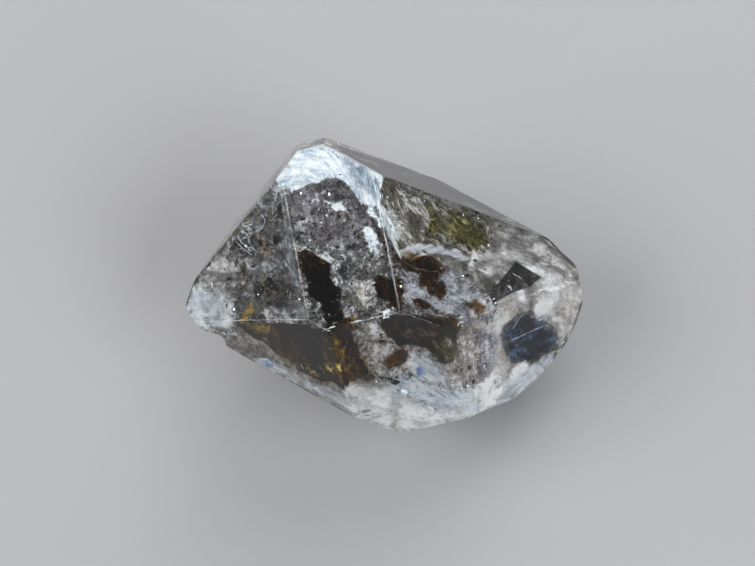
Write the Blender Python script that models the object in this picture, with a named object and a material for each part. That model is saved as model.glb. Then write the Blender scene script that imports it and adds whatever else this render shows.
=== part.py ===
"""Petroleum quartz: one doubly terminated quartz crystal that lies on a prism face.

Metres, +Z up. +X runs along the crystal's long axis, and the origin is the middle of its underside.
The block is cut face by face, as the crystal is bounded: six prism faces round the long axis, six
rhomb faces at each end, a few worn corners, and one small break at the left tip.
"""

import math

import bmesh
import bpy
from mathutils import Vector

MM = 0.001

# The angle between the long axis and the normal of a rhomb face is the same on every quartz crystal.
RHOMB_SLOPE_DEG = 51.79
FACE_TURN_DEG = 60.0

# Distance of each face from the crystal's middle in mm. Each row starts with the face that looks up
# and goes round the long axis by way of +Y. The fourth prism face is the one that it rests on.
PRISM_MM = (3.78, 5.49, 3.20, 4.27, 4.94, 3.97)
RIGHT_RHOMB_MM = (3.42, 3.83, 4.09, 5.72, 6.36, 4.31)
LEFT_RHOMB_MM = (4.45, 5.50, 5.01, 4.94, 4.25, 4.28)

# Worn corners: azimuth from +X, elevation, both in degrees, and distance in mm.
WORN_CORNERS = {
    "upper_left_edge": (133.6, 24.7, 5.38),
    "left_tip_end": (-158.6, -10.1, 6.16),
    "left_tip_under": (-142.1, -22.4, 4.83),
    "right_tip_end": (-5.9, 0.1, 6.69),
    "right_tip_under": (-33.1, -28.4, 6.76),
    "lower_right_edge": (-58.0, -14.3, 5.95),
}

# The break at the left tip: a wedge-shaped bite whose sharp inner edge runs steeply up.
BREAK_EDGE_AT_MM = (-5.87, -0.65, 0.42)
BREAK_EDGE_ALONG = (0.104, -0.336, 0.936)
BREAK_WALL_AZIMUTHS_DEG = (147.9, -84.9)
BREAK_REACH_MM = 3.0

BLOCK_HALF_MM = 12.0
CRYSTAL_COLOUR = (0.93, 0.93, 0.92, 1.0)
CRYSTAL_IOR = 1.544


def direction(azimuth_deg, elevation_deg):
    azimuth = math.radians(azimuth_deg)
    elevation = math.radians(elevation_deg)
    flat = math.cos(elevation)
    return Vector((flat * math.cos(azimuth), flat * math.sin(azimuth), math.sin(elevation)))


def prism_normal(k):
    turn = math.radians(FACE_TURN_DEG * k)
    return Vector((0.0, math.sin(turn), math.cos(turn)))


def rhomb_normal(k, end):
    """end is 1 for the right end of the long axis and -1 for the left end."""
    slope = math.radians(RHOMB_SLOPE_DEG)
    return prism_normal(k) * math.sin(slope) + Vector((end * math.cos(slope), 0.0, 0.0))


def crystal_faces():
    """All outward normals with their distances in mm."""
    faces = [(prism_normal(k), distance) for k, distance in enumerate(PRISM_MM)]
    faces += [(rhomb_normal(k, 1), distance) for k, distance in enumerate(RIGHT_RHOMB_MM)]
    faces += [(rhomb_normal(k, -1), distance) for k, distance in enumerate(LEFT_RHOMB_MM)]
    faces += [(direction(az, el), distance) for az, el, distance in WORN_CORNERS.values()]
    return faces


def cut_flat(block, normal, distance):
    """Takes away what lies beyond the plane and closes the cut with one flat face."""
    cut = bmesh.ops.bisect_plane(
        block,
        geom=block.verts[:] + block.edges[:] + block.faces[:],
        plane_co=normal * distance,
        plane_no=normal,
        clear_outer=True,
    )
    rim = [part for part in cut["geom_cut"] if isinstance(part, bmesh.types.BMEdge)]
    if rim:
        bmesh.ops.contextual_create(block, geom=rim)


def crystal_block():
    """The whole crystal in mm round its middle, before the break at the tip."""
    block = bmesh.new()
    bmesh.ops.create_cube(block, size=2.0 * BLOCK_HALF_MM)
    for normal, distance in crystal_faces():
        cut_flat(block, normal, distance)
    bmesh.ops.recalc_face_normals(block, faces=block.faces[:])
    return block


def bottom_middle(block):
    """The point in mm that becomes the origin: below the middle of the bounding box."""
    low = Vector([min(v.co[i] for v in block.verts) for i in range(3)])
    high = Vector([max(v.co[i] for v in block.verts) for i in range(3)])
    middle = (low + high) / 2.0
    return Vector((middle.x, middle.y, low.z))


def break_wedge():
    """A closed triangular prism in mm that bites into the tip, with its sharp edge inside."""
    edge = Vector(BREAK_EDGE_AT_MM)
    along = Vector(BREAK_EDGE_ALONG).normalized()
    outer = []
    for azimuth_deg in BREAK_WALL_AZIMUTHS_DEG:
        wall = direction(azimuth_deg, 0.0)
        wall = (wall - along * wall.dot(along)).normalized()
        outer.append(edge + wall * BREAK_REACH_MM)
    wedge = bmesh.new()
    rims = []
    for side in (-BREAK_REACH_MM, BREAK_REACH_MM):
        rims.append([wedge.verts.new(point + along * side) for point in (edge, *outer)])
    low, high = rims
    wedge.faces.new(low)
    wedge.faces.new(high)
    for i in range(3):
        j = (i + 1) % 3
        wedge.faces.new((low[i], low[j], high[j], high[i]))
    bmesh.ops.recalc_face_normals(wedge, faces=wedge.faces[:])
    return wedge


def add_object(name, shape, origin_mm):
    """Moves a shape in mm to the origin, scales it to metres and puts it in the scene."""
    bmesh.ops.translate(shape, vec=-origin_mm, verts=shape.verts[:])
    bmesh.ops.scale(shape, vec=(MM, MM, MM), verts=shape.verts[:])
    mesh = bpy.data.meshes.new(name)
    shape.to_mesh(mesh)
    shape.free()
    made = bpy.data.objects.new(name, mesh)
    bpy.context.scene.collection.objects.link(made)
    return made


def crystal_material():
    material = bpy.data.materials.new("clear_quartz")
    material.use_nodes = True
    shader = material.node_tree.nodes["Principled BSDF"]
    shader.inputs["Base Color"].default_value = CRYSTAL_COLOUR
    shader.inputs["Roughness"].default_value = 0.05
    shader.inputs["Metallic"].default_value = 0.0
    shader.inputs["IOR"].default_value = CRYSTAL_IOR
    shader.inputs["Transmission Weight"].default_value = 1.0
    return material


def main():
    for old in list(bpy.data.objects):
        bpy.data.objects.remove(old, do_unlink=True)
    block = crystal_block()
    origin_mm = bottom_middle(block)
    crystal = add_object("crystal", block, origin_mm)
    crystal.data.materials.append(crystal_material())
    wedge = add_object("break_wedge", break_wedge(), origin_mm)
    wedge.hide_render = True
    wedge.display_type = "WIRE"
    bite = crystal.modifiers.new("tip_break", "BOOLEAN")
    bite.operation = "DIFFERENCE"
    bite.object = wedge


main()
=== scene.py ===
import math

import bmesh
import bpy
import numpy as np
from bpy.props import FloatProperty, FloatVectorProperty, PointerProperty
from mathutils import Matrix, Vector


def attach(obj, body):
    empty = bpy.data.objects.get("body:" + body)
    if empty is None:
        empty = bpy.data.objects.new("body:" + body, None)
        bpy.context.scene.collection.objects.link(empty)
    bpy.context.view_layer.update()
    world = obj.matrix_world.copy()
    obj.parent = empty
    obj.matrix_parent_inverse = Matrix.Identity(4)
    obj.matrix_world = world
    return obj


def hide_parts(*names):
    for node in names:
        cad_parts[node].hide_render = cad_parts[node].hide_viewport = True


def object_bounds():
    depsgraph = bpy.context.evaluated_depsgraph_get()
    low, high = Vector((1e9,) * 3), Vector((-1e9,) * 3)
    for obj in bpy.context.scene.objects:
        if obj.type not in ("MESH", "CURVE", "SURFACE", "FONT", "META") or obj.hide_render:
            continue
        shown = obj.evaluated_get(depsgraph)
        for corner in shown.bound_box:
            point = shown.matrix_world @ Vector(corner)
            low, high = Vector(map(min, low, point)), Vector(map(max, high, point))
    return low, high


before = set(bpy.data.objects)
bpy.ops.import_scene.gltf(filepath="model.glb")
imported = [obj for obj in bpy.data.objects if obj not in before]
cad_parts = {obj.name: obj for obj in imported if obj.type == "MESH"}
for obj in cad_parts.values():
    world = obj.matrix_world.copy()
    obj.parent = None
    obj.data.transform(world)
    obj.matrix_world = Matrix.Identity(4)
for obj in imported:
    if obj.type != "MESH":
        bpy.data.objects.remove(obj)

bl_info = {
    "name": "Petroleum Quartz",
    "version": (1, 0, 0),
    "blender": (4, 5, 0),
    "location": "View3D > Sidebar > Petroleum Quartz",
    "description": "A clear quartz crystal with petroleum, bitumen and healed cracks sealed inside",
    "category": "Object",
}

CAD_BOX = [list(corner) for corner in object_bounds()]

MM = 0.001
QUARTZ_IOR = 1.544
RHOMB_SLOPE_DEG = 51.79

# The crystal's middle in mm, and the pixel of the photo where it shows.
MIDDLE = np.array([0.218, 0.0635, 4.27])
MIDDLE_PIXEL = np.array([385.0, 285.0])
PICTURE_CENTRE_PIXEL = np.array([377.5, 283.0])
MM_PER_PIXEL = 0.035

# The direction that the crystal is seen from, as angles in degrees.
VIEW_AZIMUTH_DEG = 17.14
VIEW_ELEVATION_DEG = 69.41
VIEW_ROLL_DEG = -29.3


def view_axes():
    """Right, up and back of the camera: level axes at the azimuth and elevation, then the roll."""
    azimuth = math.radians(VIEW_AZIMUTH_DEG)
    elevation = math.radians(VIEW_ELEVATION_DEG)
    roll = math.radians(VIEW_ROLL_DEG)
    back = np.array([
        math.sin(azimuth) * math.cos(elevation),
        -math.cos(azimuth) * math.cos(elevation),
        math.sin(elevation),
    ])
    level = np.array([math.cos(azimuth), math.sin(azimuth), 0.0])
    above = np.cross(back, level)
    right = math.cos(roll) * level + math.sin(roll) * above
    return right, np.cross(back, right), back


RIGHT, UP, BACK = view_axes()


def prism_normal(k):
    turn = math.radians(60.0 * k)
    return np.array([0.0, math.sin(turn), math.cos(turn)])


def rhomb_normal(k, end):
    slope = math.radians(RHOMB_SLOPE_DEG)
    return prism_normal(k) * math.sin(slope) + np.array([end * math.cos(slope), 0.0, 0.0])


# The faces that the photo's side shows, by their outward normals.
TOP = prism_normal(0)
FRONT = prism_normal(5)
UNDER_FRONT = prism_normal(4)
RIGHT_TOP = rhomb_normal(0, 1)
RIGHT_BACK = rhomb_normal(1, 1)
RIGHT_FRONT = rhomb_normal(5, 1)
LEFT_TOP = rhomb_normal(0, -1)
LEFT_FRONT = rhomb_normal(5, -1)

# Oil, as outlines in the photo's pixels.
BROWN_OIL = (
    (236, 323), (262, 322), (300, 322), (326, 327), (344, 323), (349, 340), (355, 354), (360, 368),
    (367, 384), (367, 384), (358, 384), (352, 377), (349, 381), (345, 389), (345, 389), (336, 383),
    (320, 380), (303, 373), (291, 362), (276, 352), (264, 342), (248, 333),
)
LONG_OIL = (
    (298, 252), (310, 248), (320, 256), (332, 262), (334, 278), (344, 292), (342, 306), (350, 320),
    (338, 326), (326, 320), (320, 304), (310, 296), (308, 280), (300, 268),
)
SECOND_OIL = (
    (379, 318), (400, 314), (430, 317), (454, 325), (457, 345), (446, 364), (432, 352), (414, 345),
    (398, 344), (386, 333),
)
AMBER_LOBE = (
    (384, 358), (392, 353), (401, 346), (409, 349), (409, 358), (401, 365), (392, 370), (386, 366),
)
DARK_FLUID = (
    (377, 274), (388, 278), (398, 279), (398, 279), (398, 292), (400, 306), (390, 306), (388, 300),
    (378, 300), (374, 286),
)
AMBER_GLOW = (
    (320, 336), (333, 330), (349, 334), (355, 350), (361, 374), (364, 384), (352, 382), (346, 388),
    (334, 382), (324, 362),
)
OIL_MOTTLE = ((428, 334), (444, 332), (458, 340), (462, 356), (450, 366), (438, 358), (428, 346))
OIL_FRINGE = (
    (262, 334), (276, 340), (292, 352), (308, 362), (322, 372), (318, 379), (302, 374), (288, 364),
    (272, 350), (262, 342),
)
# Painted highlights: bright yellow spots where light comes through thin oil.
YELLOW_HIGHLIGHTS = (
    ((328, 360), (334, 361), (341, 364), (340, 371), (334, 373), (329, 369)),
    ((345, 363), (351, 361), (355, 366), (351, 371), (346, 369)),
    ((306, 363), (309, 364), (319, 374), (320, 377), (312, 371)),
)
RED_UPPER = (
    (396, 256), (412, 252), (430, 257), (444, 266), (440, 278), (424, 276), (408, 272), (398, 266),
)
RED_MIDDLE = ((418, 274), (436, 276), (446, 286), (442, 299), (428, 293), (420, 284))
RED_LOWER = ((411, 298), (422, 299), (430, 306), (424, 310), (413, 305))
RED_RIGHT = ((456, 299), (470, 298), (484, 306), (476, 311), (462, 307))
OLIVE_OIL = (
    (448, 216), (458, 213), (470, 222), (486, 238), (484, 246), (470, 247), (456, 243), (446, 232),
)
OLIVE_STREAK = ((424, 200), (432, 202), (438, 216), (446, 232), (438, 236), (428, 220))
OLIVE_ZONE = (
    (418, 194), (440, 198), (466, 208), (484, 226), (492, 246), (482, 254), (462, 250), (440, 246),
    (426, 226),
)
YELLOW_SPOT = ((248, 300), (256, 302), (258, 313), (250, 320), (238, 321), (244, 312))

# Healed cracks and cloudy zones, as outlines in the photo's pixels.
# Painted sheen: the fracture inside these outlines is near-white, standing in for the light that it mirrors;
# SHEEN_SHADE is painted shade on its dimmer right part.
SHEEN = (
    (274, 178), (284, 162), (298, 150), (323, 144), (350, 157), (378, 172), (380, 190), (379, 208),
    (366, 206), (345, 200), (322, 198), (300, 196), (288, 192), (279, 184),
)
SHEEN_SHADE = (
    (342, 158), (352, 160), (372, 174), (380, 190), (378, 202), (370, 198), (360, 188), (350, 176),
)
SHEEN_ARCH = (
    (290, 212), (292, 196), (300, 188), (309, 182), (318, 181), (328, 177), (339, 178), (348, 183),
    (356, 193), (362, 208), (356, 226), (300, 226),
)
SHEEN_FOCUS = (302, 204)
FEATHER = ((366, 178), (374, 182), (386, 208), (398, 242), (404, 262), (396, 258), (384, 236), (372, 204))
TOP_CLOUD = (
    (286, 188), (300, 178), (330, 174), (362, 182), (380, 206), (392, 250), (368, 270), (332, 268),
    (302, 262), (290, 226),
)
LOW_TOP_CLOUD = (
    (298, 244), (330, 240), (362, 236), (390, 252), (400, 290), (399, 312), (366, 320), (328, 328),
    (310, 318), (303, 280),
)
LEFT_CLOUD = (
    (236, 222), (262, 196), (281, 180), (292, 225), (302, 275), (310, 318), (270, 320), (232, 322),
    (222, 290), (226, 248),
)
BROWN_PATCH = ((256, 236), (264, 230), (274, 240), (276, 252), (268, 260), (259, 254))
DARK_HOLLOW = ((236, 262), (243, 258), (249, 264), (250, 280), (243, 287), (236, 278))
WHITE_VEINS = (
    (232, 236), (240, 222), (250, 215), (258, 219), (256, 234), (258, 248), (250, 258), (240, 252),
)
TIP_HAZE = ((196, 282), (212, 262), (228, 246), (240, 254), (242, 276), (226, 290), (206, 294))
DARK_RING = ((257, 284), (268, 279), (282, 286), (283, 296), (270, 300), (259, 296))
LIGHT_PATCH = ((344, 298), (352, 290), (360, 284), (374, 284), (378, 294), (368, 304), (360, 316), (348, 318))
RIDGE = (
    (396, 252), (404, 247), (420, 244), (448, 248), (472, 258), (464, 262), (440, 256), (418, 253),
    (406, 262),
)
TIP_CLOUD = ((180, 300), (194, 284), (212, 284), (230, 292), (238, 306), (234, 326), (215, 340), (188, 324))
TIP_UNDER_CLOUD = (
    (200, 322), (236, 322), (252, 332), (268, 346), (274, 360), (258, 360), (240, 352), (224, 340),
    (206, 332),
)
EDGE_STRIP = (
    (276, 196), (286, 200), (294, 232), (300, 262), (306, 296), (308, 314), (298, 300), (290, 276),
    (284, 256), (281, 234), (283, 216),
)
RIGHT_TOP_CLOUD = (
    (373, 178), (400, 184), (450, 202), (486, 216), (500, 236), (490, 254), (452, 266), (416, 262),
    (390, 250),
)
RIGHT_MIDDLE_CLOUD = (
    (396, 258), (430, 256), (466, 276), (494, 300), (488, 314), (446, 324), (408, 316), (398, 288),
)
FRONT_CLOUD = (
    (332, 330), (384, 316), (440, 324), (480, 334), (500, 352), (480, 386), (440, 388), (412, 376),
    (378, 380), (352, 372), (342, 350),
)
# The faces themselves, for the faint haze that fills the quartz behind them.
TOP_FACE = ((282, 175), (310, 318), (327, 327), (399, 310), (372, 174), (323, 147), (298, 153))
RIGHT_TOP_FACE = ((399, 310), (440, 325), (577, 271), (577, 265), (550, 239), (480, 212), (372, 174))
FRONT_FACE = ((400, 433), (470, 417), (440, 325), (399, 310), (327, 327), (356, 417))
RIGHT_FRONT_FACE = (
    (566, 333), (584, 297), (577, 271), (510, 298), (440, 325), (456, 372), (470, 417), (510, 401),
    (523, 391),
)
LEFT_TOP_FACE = ((282, 175), (240, 225), (191, 283), (185, 301), (199, 324), (255, 321), (310, 318))
LEFT_FRONT_FACE = ((199, 324), (241, 355), (300, 387), (356, 417), (342, 372), (327, 327), (310, 318))
PALE_ZONE = (
    (404, 352), (414, 346), (428, 350), (442, 360), (450, 374), (446, 386), (430, 384), (412, 374),
)
LOWER_STREAKS = (
    (372, 372), (400, 366), (440, 376), (478, 392), (486, 408), (452, 414), (416, 404), (386, 392),
)
BOTTOM_CLOUD = (
    (346, 385), (376, 382), (420, 392), (470, 388), (520, 386), (516, 416), (456, 434), (402, 448),
    (360, 430),
)
LOWER_EDGE_CLOUD = (
    (250, 356), (276, 362), (300, 376), (320, 383), (338, 389), (350, 396), (357, 413), (338, 407),
    (310, 393), (280, 375), (254, 363),
)
# Painted highlights: white threads along the lower left edges.
LOWER_EDGE_HIGHLIGHTS = (((268, 367), (296, 382), (326, 398), (356, 415)), ((344, 390), (350, 401), (357, 414)))
RIGHT_END_CLOUD = (
    (490, 208), (520, 218), (556, 232), (586, 258), (588, 278), (556, 290), (524, 300), (498, 286),
    (468, 274), (464, 254), (486, 244),
)
# Painted shade: a near-black strip just inside the upper back faces, where the clear quartz shows dark.
UPPER_SHADE_STRIP = (
    (336, 146), (400, 166), (448, 184), (500, 212), (540, 234), (500, 220), (450, 202), (400, 184),
    (364, 167),
)
RIGHT_TIP_CLOUD = (
    (530, 296), (552, 282), (580, 268), (588, 296), (578, 322), (560, 346), (556, 330), (546, 316),
    (534, 318),
)
RIGHT_FRONT_CLOUD = (
    (462, 318), (504, 292), (548, 280), (590, 290), (584, 320), (566, 346), (540, 392), (512, 410),
    (476, 416), (460, 364),
)
SMOKY_QUAD = (
    (488, 294), (488, 294), (502, 277), (515, 262), (515, 262), (527, 269), (540, 277), (540, 277),
    (530, 286), (530, 286), (511, 293), (492, 303), (492, 303),
)
BLUE_WINDOW = (
    (498, 332), (510, 316), (530, 309), (544, 318), (560, 332), (559, 352), (545, 370), (526, 368),
    (508, 358),
)
YELLOW_PATCH = ((246, 323), (256, 321), (270, 323), (274, 330), (262, 334), (250, 330))
# White veil patches whose brightness is partly a painted glint.
WHITE_GLINTS = (
    ((314, 197), (320, 196), (323, 202), (317, 205)),
    ((326, 201), (336, 202), (349, 208), (348, 215), (336, 213), (327, 208)),
    ((364, 231), (374, 229), (380, 246), (376, 257), (366, 250)),
    ((366, 206), (376, 210), (383, 222), (380, 228), (368, 216)),
    ((384, 214), (390, 216), (398, 236), (394, 238), (386, 226)),
    ((376, 312), (386, 306), (396, 308), (388, 315)),
)
BLUE_SPOTS = (
    ((262, 358), (270, 359), (275, 366), (266, 368)),
    ((414, 367), (420, 364), (425, 370), (420, 377), (415, 374)),
)
# Painted highlights: near-white patches where the right front face shines.
HIGHLIGHT_SPOTS = (
    ((530, 318), (533, 306), (544, 297), (556, 300), (552, 310), (542, 320)),
    ((508, 378), (513, 366), (524, 360), (530, 366), (526, 376), (516, 380)),
)
# Painted highlights: soft glows of light along the bottom.
BOTTOM_GLOWS = (
    ((360, 394), (372, 388), (386, 392), (392, 402), (382, 411), (368, 408)),
    ((396, 404), (412, 400), (430, 406), (434, 414), (420, 421), (404, 417)),
    ((474, 396), (486, 393), (492, 398), (486, 405), (476, 404)),
)
LOWER_RIGHT_BAND = (
    (478, 402), (492, 386), (506, 376), (524, 368), (542, 358), (558, 350), (550, 370), (532, 388),
    (512, 402), (492, 412),
)

# White hair cracks, and white threads along facet edges that are painted highlights: their pixels in the photo.
TOP_HAIRS = (
    ((394, 191), (399, 200), (404, 209)),
    ((352, 166), (362, 180), (366, 194)),
    ((336, 162), (350, 176), (358, 192)),
    ((300, 252), (308, 250), (318, 254)),
)
LEFT_HAIRS = (
    ((236, 222), (242, 229), (239, 238), (247, 247)),
    ((244, 226), (252, 231), (250, 242), (259, 254)),
    ((232, 236), (240, 245), (253, 256)),
    ((262, 214), (266, 222), (262, 230)),
    # This last thread runs along an edge: a painted edge highlight.
    ((196, 322), (240, 320), (280, 319), (309, 318)),
)
# Painted highlights: white threads along the facet edges.
EDGE_HIGHLIGHTS = (
    ((372, 175), (381, 220), (390, 264), (399, 309)),
    ((312, 319), (320, 324), (327, 327), (340, 324), (370, 317), (398, 311)),
)
RIGHT_HAIRS = (
    ((396, 250), (404, 253), (426, 250), (448, 254)),
    ((403, 262), (420, 270), (444, 272)),
    ((511, 273), (519, 278), (526, 286)),
)
FRONT_HAIRS = (
    ((342, 383), (350, 402), (359, 420)),
    ((388, 374), (412, 384), (440, 396)),
    ((384, 381), (408, 392), (430, 402)),
    ((440, 402), (462, 409), (484, 407)),
)
RIGHT_FRONT_HAIRS = (
    ((508, 341), (522, 335), (534, 330), (548, 325)),
    ((512, 328), (520, 316), (526, 312)),
    ((500, 366), (506, 378), (518, 381)),
)

# Bitumen specks: middle of a group in the photo's pixels, reach in pixels, count.
TOP_SPECKS = (
    ((352, 258), (34, 20), 40), ((384, 290), (16, 20), 24), ((330, 214), (30, 26), 16),
    ((300, 240), (5, 16), 14), ((352, 300), (14, 18), 18),
)
LEFT_SPECKS = (
    ((270, 288), (16, 8), 80), ((280, 204), (3, 7), 14), ((262, 246), (22, 22), 34),
    ((234, 262), (14, 12), 22),
)
FRONT_SPECKS = (((389, 376), (13, 5), 30), ((476, 386), (3, 10), 14), ((404, 340), (50, 18), 34))
RIGHT_SPECKS = (((424, 222), (50, 24), 40), ((430, 288), (44, 24), 34))


# Tones of the healed cracks, from the darkest patches to the lightest, and of the painted sheen, highlights and
# shade strip.
BEIGE = ((0.10, 0.085, 0.065), (0.32, 0.29, 0.24), (0.60, 0.57, 0.52), (0.90, 0.90, 0.88))
AMBER_TONES = (
    (0.003, 0.001, 0.0002), (0.010, 0.004, 0.0003), (0.024, 0.009, 0.0005), (0.048, 0.019, 0.001),
    (0.10, 0.045, 0.002), (0.34, 0.20, 0.010),
)
# Yellow of the painted highlights in the oil.
AMBER_HIGHLIGHT = ((0.08, 0.035, 0.002), (0.22, 0.12, 0.006), (0.52, 0.38, 0.025), (0.95, 0.88, 0.26))
LILAC_GREY = ((0.030, 0.024, 0.022), (0.13, 0.11, 0.11), (0.32, 0.30, 0.34), (0.84, 0.87, 0.92))
WARM_GREY = ((0.050, 0.036, 0.022), (0.22, 0.18, 0.13), (0.48, 0.46, 0.44), (0.88, 0.90, 0.92))
DARK_BROWN = ((0.006, 0.004, 0.002), (0.040, 0.024, 0.012), (0.15, 0.10, 0.06), (0.48, 0.44, 0.40))
UMBER = ((0.012, 0.009, 0.005), (0.060, 0.050, 0.030), (0.18, 0.165, 0.13), (0.72, 0.74, 0.74))
OLIVE_BROWN = ((0.014, 0.010, 0.003), (0.075, 0.062, 0.012), (0.24, 0.21, 0.09), (0.60, 0.60, 0.52))
MILKY = ((0.32, 0.345, 0.37), (0.56, 0.60, 0.65), (0.80, 0.86, 0.92), (0.97, 1.0, 1.0))
BLUE_WHITE = ((0.26, 0.31, 0.38), (0.48, 0.56, 0.66), (0.76, 0.84, 0.94), (0.92, 0.96, 1.0))
# Near-white of the painted sheen and glints, also used for the feather and the lower streaks.
SHEEN_WHITE = ((0.26, 0.35, 0.43), (0.62, 0.74, 0.82), (0.88, 0.94, 0.98), (0.98, 0.99, 1.0))
GOLD = ((0.05, 0.03, 0.004), (0.14, 0.09, 0.012), (0.30, 0.20, 0.03), (0.55, 0.42, 0.12))
WARM_MILKY = ((0.36, 0.31, 0.25), (0.62, 0.58, 0.52), (0.88, 0.86, 0.82), (1.0, 0.99, 0.97))
BOTTOM_WHITE = ((0.26, 0.25, 0.24), (0.72, 0.71, 0.70), (0.96, 0.97, 0.97), (1.0, 1.0, 1.0))
PALE_WARM = ((0.24, 0.21, 0.18), (0.44, 0.41, 0.38), (0.70, 0.68, 0.65), (0.96, 0.95, 0.93))
# Near-black of the painted shade strip.
PAINTED_SHADE_GREY = ((0.004, 0.004, 0.004), (0.012, 0.011, 0.010), (0.030, 0.027, 0.024), (0.15, 0.14, 0.13))
SMOKY = ((0.006, 0.006, 0.007), (0.016, 0.015, 0.015), (0.035, 0.032, 0.032), (0.09, 0.085, 0.085))
BLUE_BLACK = ((0.001, 0.002, 0.005), (0.003, 0.006, 0.013), (0.012, 0.024, 0.045), (0.10, 0.17, 0.27))
SPOT_BLUE = ((0.08, 0.13, 0.34), (0.14, 0.26, 0.58), (0.36, 0.56, 0.86), (0.80, 0.92, 1.0))
GLAZE = ((0.002, 0.001, 0.0005), (0.008, 0.005, 0.003), (0.022, 0.014, 0.009), (0.085, 0.060, 0.042))
AMBER_GLAZE = ((0.002, 0.001, 0.0001), (0.010, 0.004, 0.0003), (0.026, 0.010, 0.0006), (0.060, 0.028, 0.003))
DUSKY = ((0.010, 0.009, 0.008), (0.045, 0.043, 0.041), (0.17, 0.17, 0.17), (0.82, 0.86, 0.90))
UNDER_TIP = ((0.035, 0.028, 0.020), (0.090, 0.078, 0.062), (0.18, 0.165, 0.145), (0.42, 0.40, 0.37))
# Near-white of the painted highlights.
HIGHLIGHT_WHITE = ((0.62, 0.66, 0.70), (0.82, 0.84, 0.85), (0.94, 0.95, 0.94), (1.0, 1.0, 0.98))
EDGE_BLUE = ((0.05, 0.058, 0.067), (0.12, 0.14, 0.16), (0.23, 0.265, 0.30), (0.60, 0.67, 0.74))
SOFT_GREY = ((0.008, 0.007, 0.006), (0.044, 0.042, 0.040), (0.15, 0.15, 0.155), (0.66, 0.70, 0.74))
PEARL = ((0.045, 0.040, 0.035), (0.18, 0.172, 0.165), (0.50, 0.50, 0.50), (0.97, 0.98, 1.0))
OLIVE_TONES = ((0.014, 0.012, 0.003), (0.050, 0.046, 0.012), (0.15, 0.145, 0.035), (0.42, 0.42, 0.20))
# Painted shade on the dim right part of the painted sheen.
SHADE_BLUE = ((0.08, 0.12, 0.16), (0.20, 0.27, 0.34), (0.42, 0.52, 0.62), (0.80, 0.90, 0.97))


class QuartzSkinSettings(bpy.types.PropertyGroup):
    edge_wear: FloatProperty(
        name="Edge wear", description="How far sharp edges are worn back, in mm", default=0.008,
    )
    tip_wear: FloatProperty(
        name="Tip wear", description="How far the two tips are worn back, in mm", default=0.028,
    )
    tint: FloatVectorProperty(
        name="Quartz tint", description="Colour of light after a long way through the quartz",
        default=(0.86, 0.87, 0.86), subtype="COLOR", size=3, min=0.0, max=1.0,
    )


class QuartzOilSettings(bpy.types.PropertyGroup):
    brown: FloatVectorProperty(
        name="Brown oil", description="Colour that the brown oil lets through",
        default=(0.85, 0.755, 0.20), subtype="COLOR", size=3, min=0.0, max=1.0,
    )
    red: FloatVectorProperty(
        name="Red-brown oil", description="Colour that the red-brown oil lets through",
        default=(0.80, 0.70, 0.52), subtype="COLOR", size=3, min=0.0, max=1.0,
    )
    amber: FloatVectorProperty(
        name="Amber oil", description="Colour that the amber oil lets through",
        default=(0.94, 0.66, 0.06), subtype="COLOR", size=3, min=0.0, max=1.0,
    )
    olive: FloatVectorProperty(
        name="Olive oil", description="Colour that the olive oil lets through",
        default=(0.78, 0.74, 0.24), subtype="COLOR", size=3, min=0.0, max=1.0,
    )


class QuartzCloudSettings(bpy.types.PropertyGroup):
    amount: FloatProperty(
        name="Amount", description="How much of each healed crack shows", default=0.0,
        min=-0.5, max=0.5,
    )
    flake_size: FloatProperty(
        name="Flake size", description="Mean radius of a platelet in a healed crack, in mm",
        default=0.040,
    )


class QuartzStageSettings(bpy.types.PropertyGroup):
    floor_colour: FloatVectorProperty(
        name="Floor", description="Colour of the floor", default=(0.25, 0.25, 0.257),
        subtype="COLOR", size=3, min=0.0, max=1.0,
    )
    camera_distance: FloatProperty(
        name="Camera distance", description="From the crystal's middle", default=0.16,
        unit="LENGTH", subtype="DISTANCE",
    )
    picture_width_mm: FloatProperty(
        name="Picture width", description="Width in mm that the picture covers", default=26.42,
    )


def plane_set(node):
    """Normals and distances in mm of the flat faces that the whole of a CAD node lies behind."""
    mesh = node.data
    mesh.calc_loop_triangles()
    points = np.empty(len(mesh.vertices) * 3)
    mesh.vertices.foreach_get("co", points)
    points = points.reshape(-1, 3) / MM
    corners = np.empty(len(mesh.loop_triangles) * 3, np.int32)
    mesh.loop_triangles.foreach_get("vertices", corners)
    a, b, c = (points[corners.reshape(-1, 3)[:, i]] for i in range(3))
    normals = np.cross(b - a, c - a)
    areas = np.linalg.norm(normals, axis=1)
    wide = areas > 0.02
    normals = normals[wide] / areas[wide, None]
    distances = (normals * a[wide]).sum(axis=1)
    outer = (points @ normals.T - distances).max(axis=0) < 0.02
    kept_normals, kept_distances = [], []
    for normal, distance in zip(normals[outer], distances[outer]):
        if all(np.dot(normal, kept) < 0.9995 for kept in kept_normals):
            kept_normals.append(normal)
            kept_distances.append(distance)
    return np.array(kept_normals), np.array(kept_distances)


NORMALS, DISTANCES = plane_set(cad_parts["crystal"])


def face_index(normal):
    return int(np.argmax(NORMALS @ normal))


def unit(vectors):
    return vectors / np.linalg.norm(vectors, axis=-1, keepdims=True)


def from_pixels(pixels):
    """Pixels of the photo as mm across and up from the crystal's middle."""
    return (np.asarray(pixels, float) - MIDDLE_PIXEL) * (MM_PER_PIXEL, -MM_PER_PIXEL)


def bent_ray(normal):
    """Direction of the camera's ray inside the quartz behind a face."""
    ratio = 1.0 / QUARTZ_IOR
    cosine = BACK @ normal
    return (ratio * cosine - math.sqrt(1.0 - ratio**2 * (1.0 - cosine**2))) * normal - ratio * BACK


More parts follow.
